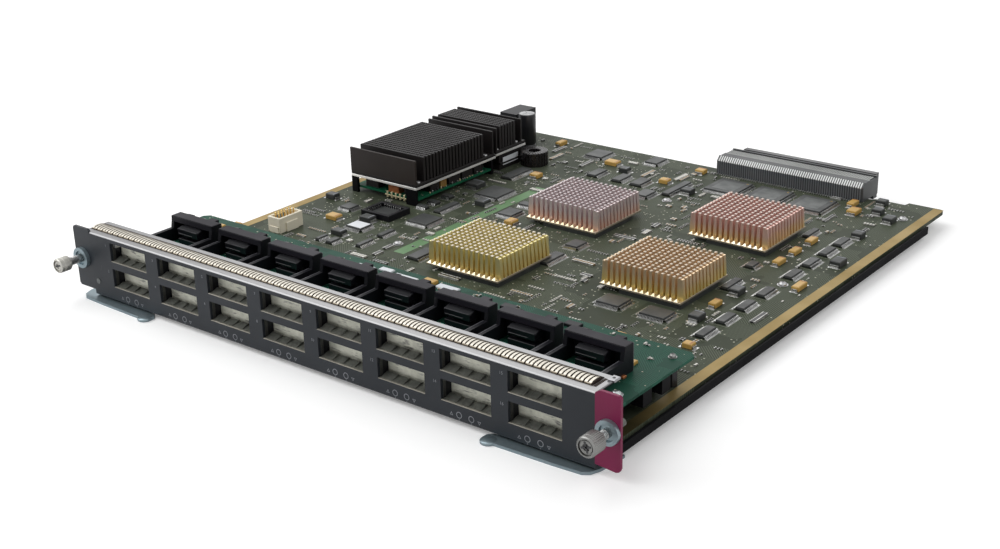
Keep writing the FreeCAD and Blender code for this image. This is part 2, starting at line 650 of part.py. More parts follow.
def make_chip_socket():
    """A square socket with an open middle."""
    body = new_body("chip_socket")
    plan = new_sketch(body, "plan", "XY_Plane", "board_top")
    rectangle(plan, "65", "170.4", "90", "191.6")
    rectangle(plan, "71", "176.4", "84", "185.6")
    pad(body, "frame", plan, "4.6")
    keep(body)


# Flat packages as (across, back, length, width) from the front left corner.
FLAT_CHIPS = [
    (71, 146, 17, 15), (99, 147, 7, 13), (100, 127, 6, 13), (72, 121, 5, 9), (80, 121, 8, 9),
    (97, 175, 20, 20), (138, 130, 12, 18), (136, 218, 15, 17), (138, 240, 12, 10),
    (100, 240, 22, 24), (92, 280, 12, 25), (99, 201, 8, 21), (85, 201, 8, 6), (85, 211, 8, 8),
    (85, 225, 8, 8), (206, 168, 11, 19), (204, 197, 13, 15), (268, 137, 19, 17), (296, 137, 20, 16),
    (314, 195, 8, 17), (314, 294, 7, 15), (309, 231, 9, 9), (156, 360, 14, 18), (138, 317, 11, 15),
    (158, 317, 11, 15), (173, 317, 12, 15), (188, 298, 13, 17), (112, 350, 18, 20), (201.5, 312, 9, 30),
    (219, 334, 28, 29), (249, 334, 28, 29), (280, 334, 28, 29), (43, 170, 13, 13)]
SIDE_CHIPS = [139, 160.5, 181.5, 204, 236, 258, 279, 298]
TANTALUMS = [
    (322, 169, 6, 10), (321, 243, 6, 11), (321, 263, 6, 11), (321, 284, 6, 11), (348, 215, 6, 13),
    (312, 359, 6, 11), (318, 346, 8, 11), (134, 345, 12, 8), (187, 332, 9, 7), (197, 363, 8, 8),
    (108, 292, 8, 9), (150.2, 209, 8.6, 8.5), (80, 361, 6, 11), (337, 117, 8, 6), (302, 106, 8, 6),
    (11, 107, 8, 6), (49, 153, 11, 8)]
DIODES = [
    (322, 191, 8, 10), (322, 148, 8, 10), (326, 372, 8, 8), (331, 355, 8, 8), (343, 344, 8, 10),
    (339, 309, 8, 9), (349, 260, 8, 12), (152, 336, 9, 7), (211, 321, 9, 9), (72, 134, 11, 7),
    (70, 162, 11, 8), (112, 227, 10, 9), (85, 251, 11, 12), (21, 182, 10, 7)]
BOARD_SCREWS = [("119", "146"), ("341", "221"), ("212", "305"), ("352", "358"), ("20", "330"), ("24", "230")]
DECK_SCREWS = [("357", "29"), ("357", "78"), ("22", "29"), ("22", "78")]


def make_components():
    chips = [block("chip_%d" % i, a, b, "board_top", length, width, "chip_height")
             for i, (a, b, length, width) in enumerate(FLAT_CHIPS, 1)]
    chips += [block("side_chip_%d" % i, "335", "%s - 7" % back, "board_top", "9", "14", "chip_height")
              for i, back in enumerate(SIDE_CHIPS, 1)]
    group("logic_chips", chips)
    group("tantalum_capacitors", [block("tantalum_%d" % i, a, b, "board_top", length, width, "slug_height")
                                  for i, (a, b, length, width) in enumerate(TANTALUMS, 1)])
    group("power_diodes", [block("diode_%d" % i, a, b, "board_top", length, width, "slug_height + 0.6")
                           for i, (a, b, length, width) in enumerate(DIODES, 1)])


def hexagon(body, name, radius, low, height):
    plan = new_sketch(body, name + "_plan", "XY_Plane", low)
    outline(plan, ring_points(radius, 6))
    return pad(body, name, plan, height)


def make_fixings():
    """Hexagonal screw heads on both boards, and the posts and connectors between the boards."""
    screws = []
    posts = []
    for level, spots in (("board", BOARD_SCREWS), ("deck", DECK_SCREWS)):
        for number, (across, back) in enumerate(spots, 1):
            screw = new_body("%s_screw_%d" % (level, number))
            hexagon(screw, "head", "3.1", "0", "1.8")
            put(screw, across, back, level + "_top")
            screws.append(screw)
    for number, (across, back) in enumerate(DECK_SCREWS, 1):
        post = new_body("post_%d" % number)
        hexagon(post, "post", "3", "0", "deck_low - board_top")
        put(post, across, back, "board_top")
        posts.append(post)
    group("board_screws", screws)
    group("deck_posts", posts)
    group("deck_connector", [block("stack_connector_%d" % i, across, "80", "board_top", "36", "6",
                                   "deck_low - board_top") for i, across in enumerate(("60", "170", "280"))])
    lens = rod("status_light", "0", "0", "0", "1.7", "0.3", Rotation(X_WAY, -90))
    keep(lens, "18.1", "-0.3", "5.6")


def failures():
    """Labels of everything that did not come out whole."""
    found = [item.Label for item in doc.Objects if {"Invalid", "Error"} & set(item.State)]
    for item in parts:
        if item.Shape.isNull() or not item.Shape.isValid():
            found.append(item.Label)
    return found


def main():
    make_faceplate()
    make_end_brackets()
    make_captive_screws()
    make_levers()
    make_pivots()
    make_gasket()
    make_main_board()
    make_daughter_board()
    make_tray()
    make_port_guides()
    make_lower_guides()
    make_port_sockets()
    make_doors()
    make_heatsinks()
    make_power_section()
    make_round_parts()
    make_backplane_connector()
    make_header()
    make_chip_socket()
    make_components()
    make_fixings()
    doc.recompute()
    found = failures()
    if found:
        raise RuntimeError("failed: " + ", ".join(found))
    os.makedirs("parts", exist_ok=True)
    for item in parts:
        item.Shape.exportStep("parts/%s.step" % item.Label)


main()
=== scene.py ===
import json
import math
import random

import bmesh
import bpy
from mathutils import Euler, Matrix, Vector


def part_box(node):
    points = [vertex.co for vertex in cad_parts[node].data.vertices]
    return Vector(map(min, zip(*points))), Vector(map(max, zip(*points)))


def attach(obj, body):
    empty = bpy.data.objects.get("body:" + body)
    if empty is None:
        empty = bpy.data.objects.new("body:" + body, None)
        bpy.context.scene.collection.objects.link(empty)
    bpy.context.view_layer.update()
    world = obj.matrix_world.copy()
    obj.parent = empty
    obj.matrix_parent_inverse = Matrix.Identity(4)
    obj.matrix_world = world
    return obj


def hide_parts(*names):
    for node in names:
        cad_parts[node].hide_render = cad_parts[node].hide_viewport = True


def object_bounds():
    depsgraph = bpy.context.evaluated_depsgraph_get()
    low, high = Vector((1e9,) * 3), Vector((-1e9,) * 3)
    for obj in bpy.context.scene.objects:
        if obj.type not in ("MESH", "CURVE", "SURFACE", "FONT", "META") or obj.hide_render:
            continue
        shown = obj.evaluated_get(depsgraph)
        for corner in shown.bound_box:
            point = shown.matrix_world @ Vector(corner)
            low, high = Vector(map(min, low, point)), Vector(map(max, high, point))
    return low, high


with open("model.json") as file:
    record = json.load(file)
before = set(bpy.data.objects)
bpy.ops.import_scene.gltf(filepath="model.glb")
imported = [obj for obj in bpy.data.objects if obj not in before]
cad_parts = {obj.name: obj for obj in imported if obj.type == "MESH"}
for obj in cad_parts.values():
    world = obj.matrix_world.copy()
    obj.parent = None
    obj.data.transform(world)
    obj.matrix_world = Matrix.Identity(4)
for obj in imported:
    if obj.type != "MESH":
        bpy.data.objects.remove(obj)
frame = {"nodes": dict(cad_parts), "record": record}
CAD_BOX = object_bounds()
NODES = frame["nodes"]
MM = 0.001
MATERIAL_OF = {part["node"]: part["material_slot"] for part in frame["record"]["subparts"]}

# Sizes in card millimetres: across from the faceplate's left end, back from its front face, and up
# from the line that the end tabs stand on. CORNER takes them to the frame.
CORNER = Vector((-189.5, -191.7, 5.8))
BOARD_TOP, DECK_TOP, PANEL_TOP = 4.2, 19.3, 34.9
PORT_LEFT, PORT_PITCH, PORT_WIDTH, PORT_HEIGHT, PORT_COUNT = 32.3, 40.65, 30.6, 11.2, 8
PORTS = [(PORT_LEFT + column * PORT_PITCH, sill, row, column)
         for column in range(PORT_COUNT) for row, sill in (("upper", 20.9), ("lower", 5.2))]
WALL = 2.2          # thickness of a guide's side wall
BOARD_REAR = 388.95
SCREW_UP, KNOB_FRONT = 17.9, -18.0
AXIS = 0.01         # radius at which a turned end is closed
GASKET_FINGERS, FINGER_PITCH = 75, 4.66
FINE_PITCH, COARSE_PITCH = 0.9, 1.27        # of the packages' leads
SMALL_TRIES, SMALL_PARTS, DECK_SMALL_PARTS = 9000, 1500, 46
CONTACT_COLUMNS = 64
LABELLED = (71, 146)        # corner of the package with a white label


def at(across, back, up):
    """A point of the card in the frame, in metres."""
    return (Vector((across, back, up)) + CORNER) * MM


def card_box(node):
    """A node's low and high corner in card millimetres."""
    return [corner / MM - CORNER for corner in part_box(node)]


def columns_at(shift=0.0):
    """A spot for every column of ports, from its left edge."""
    return [(PORT_LEFT + shift + i * PORT_PITCH, 0, 0) for i in range(PORT_COUNT)]


# ---------------------------------------------------------------- mesh helpers

def plate(a, b, d, e, up, inset=0.0):
    """The corners of a level rectangle from (a, b) to (d, e), drawn in by inset."""
    a, b, d, e = a + inset, b + inset, d - inset, e - inset
    return [(a, b, up), (d, b, up), (d, e, up), (a, e, up)]


def bar(start, stop, half, rise):
    """The two rings of a bar from start to stop, half its width to each side and raised by rise."""
    return [[start - half + lift, stop - half + lift, stop + half + lift, start + half + lift]
            for lift in (Vector((0, 0, 0)), Vector(rise))]


class Shape:
    """Gathers closed solids, each with its finish, into one mesh in card millimetres."""

    def __init__(self, *slabs):
        """Starts empty, or with slabs given by their corners, finish and cut."""
        self.points, self.faces, self.marks, self.finishes = [], [], [], []
        for entries in slabs:
            self.slab(*entries)

    def loft(self, rings, finish, open_ends=False):
        """Joins rings of equally many points, and caps the first and the last."""
        start, size, last = len(self.points), len(rings[0]), len(rings) - 1
        if finish not in self.finishes:
            self.finishes.append(finish)
        for ring in rings:
            self.points.extend(Vector(point) for point in ring)
        for low in range(start, start + last * size, size):
            for i in range(size):
                j = (i + 1) % size
                self.faces.append((low + i, low + j, low + size + j, low + size + i))
        if not open_ends:
            self.faces.append(tuple(start + i for i in reversed(range(size))))
            self.faces.append(tuple(start + last * size + i for i in range(size)))
        self.marks.extend([self.finishes.index(finish)] * (len(self.faces) - len(self.marks)))

    def slab(self, low, high, finish, cut=0.0):
        """A block from its low to its high corner, with its four upper edges cut back."""
        (a, b, c), (d, e, f) = low, high
        levels = ((c, 0), (f - cut, 0), (f, cut)) if cut else ((c, 0), (f, 0))
        self.loft([plate(a, b, d, e, up, inset) for up, inset in levels], finish)

    def prism(self, section, left, right, finish):
        """A (back, up) section that runs across, drawn anticlockwise seen from the right."""
        self.loft([[(across, *spot) for spot in section] for across in (left, right)], finish)

    def turn(self, profile, middle, finish, sides=24, level=False):
        """Rings of (radius, height) about an upright axis, or a level one that runs back."""
        rings = []
        for radius, height in profile:
            ring = []
            for i in range(sides):
                angle = 2 * math.pi * i / sides
                first, second = radius * math.cos(angle), radius * math.sin(angle)
                spot = (second, height, first) if level else (first, second, height)
                ring.append(Vector(spot) + Vector(middle))
            rings.append(ring)
        self.loft(rings, finish)

    def piece(self, name, body="card", stands_for=(), bevel=0.0, smooth=None):
        made = bpy.data.meshes.new(name)
        made.from_pydata([(point + CORNER) * MM for point in self.points], [], self.faces)
        made.polygons.foreach_set("material_index", self.marks)
        for finish in self.finishes:
            made.materials.append(FINISH[finish])
        made.update()
        return set_out(name, made, body, stands_for, bevel, smooth)


def linked(name, data):
    thing = bpy.data.objects.new(name, data)
    bpy.context.scene.collection.objects.link(thing)
    return thing


def set_out(name, mesh, body, stands_for, bevel=0.0, smooth=None):
    """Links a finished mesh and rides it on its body."""
    thing = linked(name, mesh)
    if bevel:
        edge = thing.modifiers.new("edges", "BEVEL")
        edge.width = bevel * MM
        edge.segments = 1
        edge.limit_method = "ANGLE"
        edge.angle_limit = math.radians(40)
    if smooth:
        mesh.set_sharp_from_angle(angle=math.radians(smooth))
        mesh.polygons.foreach_set("use_smooth", [True] * len(mesh.polygons))
    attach(thing, body)
    if stands_for:
        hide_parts(*stands_for)
    return thing


def merged(node):
    """A node's mesh with its doubled points merged."""
    soup = bmesh.new()
    soup.from_mesh(NODES[node].data)
    bmesh.ops.remove_doubles(soup, verts=soup.verts, dist=1e-6)
    return soup


def mesh_from(soup, name, finish):
    made = bpy.data.meshes.new(name)
    soup.to_mesh(made)
    soup.free()
    made.materials.append(FINISH[finish])
    return made


def softened(node, width, finish):
    """A node's own form with its edges broken, as the moulded piece has."""
    soup = merged(node)
    bmesh.ops.dissolve_limit(soup, angle_limit=math.radians(1), verts=soup.verts, edges=soup.edges)
    name = node + "_soft"
    set_out(name, mesh_from(soup, name, finish), "card", (node,), width)


def solids_of(node):
    """The (low, high) corners of every separate solid in a node, in card millimetres."""
    soup = merged(node)
    left = set(soup.verts)
    boxes = []
    while left:
        group, front = set(), [left.pop()]
        while front:
            spot = front.pop()
            group.add(spot)
            for edge in spot.link_edges:
                other = edge.other_vert(spot)
                if other in left:
                    left.discard(other)
                    front.append(other)
        corners = [spot.co / MM - CORNER for spot in group]
        boxes.append(tuple([pick(c[i] for c in corners) for i in range(3)] for pick in (min, max)))
    soup.free()
    return sorted(boxes)


# ---------------------------------------------------------------- trees for what repeats

def new_group(name, kind, inputs, outputs):
    """An empty node group with named sockets, given as {name: sort of socket}."""
    group = bpy.data.node_groups.new(name, kind)
    for way, sockets in (("INPUT", inputs), ("OUTPUT", outputs)):
        for label, sort in sockets.items():
            group.interface.new_socket(label, in_out=way, socket_type="NodeSocket" + sort)
    return group


class Wires:
    """Adds nodes to a tree: every keyword is a property, every entry an input."""

    def __init__(self, tree):
        self.tree = tree

    def add(self, kind, entries=None, **props):
        node = self.tree.nodes.new(kind)
        for key, setting in props.items():
            setattr(node, key, setting)
        for key, source in (entries or {}).items():
            self.feed(node.inputs[key], source)
        return node

    def feed(self, socket, source):
        if isinstance(source, bpy.types.Node):
            source = next(out for out in source.outputs if out.enabled)
        if isinstance(source, bpy.types.NodeSocket):
            self.tree.links.new(source, socket)
        else:
            socket.default_value = source

    def use(self, group, **entries):
        return self.add("ShaderNodeGroup", entries, node_tree=group).outputs

    def math(self, operation, first, second=0.0, third=0.0):
        return self.add("ShaderNodeMath", {0: first, 1: second, 2: third}, operation=operation)

    def mix(self, factor, first, second):
        """From the first colour to the second, each a socket or three numbers."""
        node = self.add("ShaderNodeMix", {0: factor}, data_type="RGBA")
        for index, tone in ((6, first), (7, second)):
            self.feed(node.inputs[index], (*tone, 1.0) if isinstance(tone, (tuple, list)) else tone)
        return node.outputs[2]

    def blend(self, factor, first, second):
        """From the first number to the second."""
        return self.add("ShaderNodeMix", {0: factor, 2: first, 3: second}, data_type="FLOAT").outputs[0]

    def ramp(self, value, low, high):
        """0 below low, 1 above high."""
        return self.add("ShaderNodeMapRange", {0: value, 1: low, 2: high})

    def noise(self, place, scale, detail=2.0):
        node = self.add("ShaderNodeTexNoise", {"Vector": place, "Scale": scale, "Detail": detail})
        return node.outputs[0]

    def bump(self, strength, distance, height):
        return self.add("ShaderNodeBump", {"Strength": strength, "Distance": distance, "Height": height})

    def place(self):
        return self.add("ShaderNodeTexCoord").outputs["Object"]

    def axes(self):
        """The three object coordinates."""
        return self.add("ShaderNodeSeparateXYZ", {0: self.place()}).outputs


def repeating_tree(name, inputs, instances):
    """A tree that turns the instances of one part into a single mesh in one finish."""
    tree = new_group(name, "GeometryNodeTree", {**inputs, "Part": "Object", "Finish": "Material"},
                     {"Geometry": "Geometry"})
    w = Wires(tree)
    entry = w.add("NodeGroupInput").outputs
    part = w.add("GeometryNodeObjectInfo", {"Object": entry["Part"]}).outputs["Geometry"]
    whole = w.add("GeometryNodeRealizeInstances", {"Geometry": instances(w, entry, part)})
    dressed = w.add("GeometryNodeSetMaterial", {"Geometry": whole, "Material": entry["Finish"]})
    w.feed(w.add("NodeGroupOutput").inputs[0], dressed)
    return tree


def rows_and_columns(w, entry, part):
    """Instances in rows and columns, from a corner spot."""
    for count, step, axis in (("Columns", "Column step", 0), ("Rows", "Row step", 1)):
        offset = w.add("ShaderNodeCombineXYZ", {axis: entry[step]})
        line = w.add("GeometryNodeMeshLine", {"Count": entry[count], "Offset": offset})
        part = w.add("GeometryNodeInstanceOnPoints", {"Points": line, "Instance": part})
    return w.add("GeometryNodeTransform", {"Geometry": part, "Translation": entry["Corner"]})


def on_spots(w, entry, part):
    """An instance at every spot, turned and sized by the spot's own attributes."""
    turn, reach = (w.add("GeometryNodeInputNamedAttribute", {"Name": name}, data_type=sort)
                   for name, sort in (("turn", "FLOAT"), ("reach", "FLOAT_VECTOR")))
    angle = w.add("ShaderNodeCombineXYZ", {2: turn})
    return w.add("GeometryNodeInstanceOnPoints", {"Points": entry["Spots"], "Instance": part,
                                                  "Rotation": angle, "Scale": reach})


LATTICE = repeating_tree("lattice", {"Columns": "Int", "Rows": "Int", "Column step": "Float",
                                     "Row step": "Float", "Corner": "Vector"}, rows_and_columns)
SCATTER = repeating_tree("scatter", {"Spots": "Geometry"}, on_spots)


def grown(name, shape, finish, start, tree, settings, stands_for, smooth):
    """Repeats a shape by a tree and sets it out as one piece; the shape's own corner is its origin."""
    mesh = bpy.data.meshes.new(name + "_part")
    mesh.from_pydata([point * MM for point in shape.points], [], shape.faces)
    settings = {"Part": bpy.data.objects.new(name + "_part", mesh), "Finish": FINISH[finish], **settings}
    seed = linked(name + "_seed", start)
    step = seed.modifiers.new("repeat", "NODES")
    step.node_group = tree
    for item in tree.interface.items_tree:
        if item.in_out == "INPUT" and item.name in settings:
            step[item.identifier] = settings[item.name]
    made = bpy.data.meshes.new_from_object(seed.evaluated_get(bpy.context.evaluated_depsgraph_get()))
    made.name = name
    seed.modifiers.remove(step)
    bpy.data.objects.remove(seed)
    set_out(name, made, "card", stands_for, 0.0, smooth)


def lattice(name, shape, finish, corner, columns, pitch, rows=1, row_pitch=0.0, stands_for=(), smooth=None):
    """Repeats a shape in rows and columns."""
    settings = {"Columns": columns, "Rows": rows, "Column step": pitch * MM, "Row step": row_pitch * MM,
                "Corner": at(*corner)}
    grown(name, shape, finish, bpy.data.meshes.new(name), LATTICE, settings, stands_for, smooth)


def scatter(name, shape, finish, spots):
    """Repeats a shape at spots, given as (across, back, up, turn, scale); the last two may be left out."""
    spots = [spot + (0.0, (1, 1, 1))[len(spot) - 3:] for spot in spots]
    start = bpy.data.meshes.new(name)
    start.from_pydata([at(*spot[:3]) for spot in spots], [], [])
    start.attributes.new("turn", "FLOAT", "POINT").data.foreach_set("value", [spot[3] for spot in spots])
    start.attributes.new("reach", "FLOAT_VECTOR", "POINT").data.foreach_set(
        "vector", [size for spot in spots for size in spot[4]])
    grown(name, shape, finish, start, SCATTER, {}, (), None)


# ---------------------------------------------------------------- shader groups and finishes

def grain_group():
    """Broad and fine unevenness, both from 0 to 1, for any finish."""
    group = new_group("surface_grain", "ShaderNodeTree", {"Broad": "Float", "Fine": "Float"},
                      {"Broad mask": "Float", "Fine height": "Float"})
    w = Wires(group)
    entry, leave = w.add("NodeGroupInput").outputs, w.add("NodeGroupOutput").inputs
    place = w.place()
    w.feed(leave[0], w.ramp(w.noise(place, entry[0], 4.0), 0.3, 0.7))
    w.feed(leave[1], w.noise(place, entry[1]))
    return group


def trace_group():
    """Copper under the solder mask: patches of parallel tracks, and round vias."""
    group = new_group("copper_tracks", "ShaderNodeTree",
                      {"Pitch": "Float", "Share": "Float", "Patch": "Float", "Vias": "Float"},
                      {"Tracks": "Float", "Vias": "Float"})
    w = Wires(group)
    entry, leave = w.add("NodeGroupInput").outputs, w.add("NodeGroupOutput").inputs
    place = w.place()
    patch = w.add("ShaderNodeTexVoronoi", {"Vector": place, "Scale": entry["Patch"]}, distance="CHEBYCHEV")
    choice = w.add("ShaderNodeSeparateColor", {0: patch.outputs["Color"]}).outputs
    across, back = w.add("ShaderNodeSeparateXYZ", {0: place}).outputs[:2]
    slant, lean = (w.math("MULTIPLY", w.math(way, across, back), 0.707) for way in ("ADD", "SUBTRACT"))
    first = w.math("GREATER_THAN", choice[0], 0.5)
    turned = w.math("GREATER_THAN", choice[1], 0.72)
    way = w.blend(turned, w.blend(first, across, back), w.blend(first, slant, lean))
    wave = w.math("FRACT", w.math("DIVIDE", w.math("MULTIPLY", way, 1000.0), entry["Pitch"]))
    shown = w.math("GREATER_THAN", choice[2], 0.3)
    w.feed(leave["Tracks"], w.math("MULTIPLY", w.math("LESS_THAN", wave, entry["Share"]), shown))
    dots = w.add("ShaderNodeTexVoronoi", {"Vector": place, "Scale": 330.0, "Randomness": 0.75}).outputs
    near = w.math("LESS_THAN", dots["Distance"], 0.17)
    kept = w.math("LESS_THAN", w.add("ShaderNodeSeparateColor", {0: dots["Color"]}).outputs[0], entry["Vias"])
    dense = w.math("GREATER_THAN", w.noise(place, 38.0), 0.5)
    w.feed(leave["Vias"], w.math("MULTIPLY", w.math("MULTIPLY", near, kept), dense))
    return group


GRAIN = grain_group()
TRACKS = trace_group()


def new_finish(name):
    """A new material, its wires and its shader's inputs."""
    material = bpy.data.materials.new(name)
    material.use_nodes = True
    return material, Wires(material.node_tree), material.node_tree.nodes["Principled BSDF"].inputs


def grained(name, broad, fine, rough, spread, metallic, specular=0.5, bump=0.05, depth=0.00005):
    """A material whose gloss and relief follow the grain; bump is the relief's strength, None for none."""
    material, w, bsdf = new_finish(name)
    mask, height = w.use(GRAIN, Broad=broad, Fine=fine)
    w.feed(bsdf["Roughness"], w.math("MULTIPLY_ADD", mask, spread, rough))
    bsdf["Metallic"].default_value = metallic
    bsdf["Specular IOR Level"].default_value = specular
    if bump is not None:
        w.feed(bsdf["Normal"], w.bump(bump, depth, height))
    return material, w, bsdf, mask


def plain_finish(name, base, shade, rough, metallic=0.0, broad=25, specular=0.5, bump=0.05):
    """A finish whose colour and gloss vary softly between base and shade."""
    material, w, bsdf, mask = grained(name, broad, 900, rough - 0.06, 0.12, metallic, specular, bump)
    w.feed(bsdf["Base Color"], w.mix(mask, base, shade))
    return material


def board_finish(name, mask, track, pitch, share, vias, patch=60):
    """Solder mask with tracks a shade lighter, and pale vias."""
    material, w, bsdf, cloud = grained(name, 18, 1400, 0.38, 0.1, 0.0, 0.05, None)
    tracks, dots = w.use(TRACKS, Pitch=pitch, Share=share, Patch=patch, Vias=vias)
    lined = w.mix(tracks, w.mix(cloud, mask, [part * 0.82 for part in mask]), track)
    w.feed(bsdf["Base Color"], w.mix(dots, lined, (0.42, 0.42, 0.33)))
    w.feed(bsdf["Normal"], w.bump(0.35, 0.00006, w.math("ADD", tracks, dots)))
    return material


def pin_finish(name, tip, upper, lower):
    """Anodised pins: pale tips, and sides that turn from one tint to another towards the plate, the lower
    tint a painted reflection of the plate.
    """
    material, w, bsdf, mask = grained(name, 120, 1200, 0.32, 0.1, 0.75)
    height = w.axes()[2]
    side = w.mix(w.ramp(w.math("MULTIPLY_ADD", mask, 0.003, height), 0.0165, 0.0235), lower, upper)
    w.feed(bsdf["Base Color"], w.mix(w.ramp(height, 0.0261, 0.0266), side, tip))
    return material


def door_finish(name, base, shade, scratch):
    """Bright sprung steel with rubbed, mostly level marks."""
    material, w, bsdf, mask = grained(name, 220, 500, 0.38, 0.12, 0.3, bump=0.3, depth=0.0002)
    level = w.add("ShaderNodeMapping", {"Vector": w.place(), "Scale": (160.0, 160.0, 900.0),
                                        "Rotation": (0.0, 0.06, 0.0)})
    rubbed = w.math("MULTIPLY", w.ramp(w.noise(level, 1.0, 5.0), 0.55, 0.66),
                    w.ramp(w.noise(w.place(), 130.0), 0.42, 0.6))
    w.feed(bsdf["Base Color"], w.mix(rubbed, w.mix(mask, base, shade), scratch))
    return material


def spring_finish(name, crest, foot):
    """Pale gold over the crest of each finger, and painted shade low on each finger, where it meets the
    flange, and over its rear.
    """
    material, w, bsdf, mask = grained(name, 90, 900, 0.36, 0.1, 0.8)
    back, up = w.axes()[1:]
    rear = w.mix(w.ramp(back, -0.1818, -0.1796), w.mix(mask, crest, [part * 0.86 for part in crest]), foot)
    w.feed(bsdf["Base Color"], w.mix(w.ramp(up, 0.0411, 0.0417), foot, rear))
    return material


def reopened(material):
    """A made finish's wires, its shader's inputs and the socket of its colour, to build on."""
    bsdf = material.node_tree.nodes["Principled BSDF"].inputs
    return Wires(material.node_tree), bsdf, bsdf["Base Color"].links[0].from_socket


def bare_above(material, level, metal, rough):
    """Turns a paint to bare metal above a level."""
    w, bsdf, before = reopened(material)
    above = w.math("GREATER_THAN", w.axes()[2], level)
    w.feed(bsdf["Base Color"], w.mix(above, before, metal))
    w.feed(bsdf["Metallic"], above)
    w.feed(bsdf["Roughness"], w.blend(above, bsdf["Roughness"].links[0].from_socket, rough))


def dull_in_front(material, low, high, near):
    """Paints shade on a finish towards the front: its own colour comes in from front to back, from a darker
    one.
    """
    w, bsdf, before = reopened(material)
    w.feed(bsdf["Base Color"], w.mix(w.ramp(w.axes()[1], low, high), near, before))


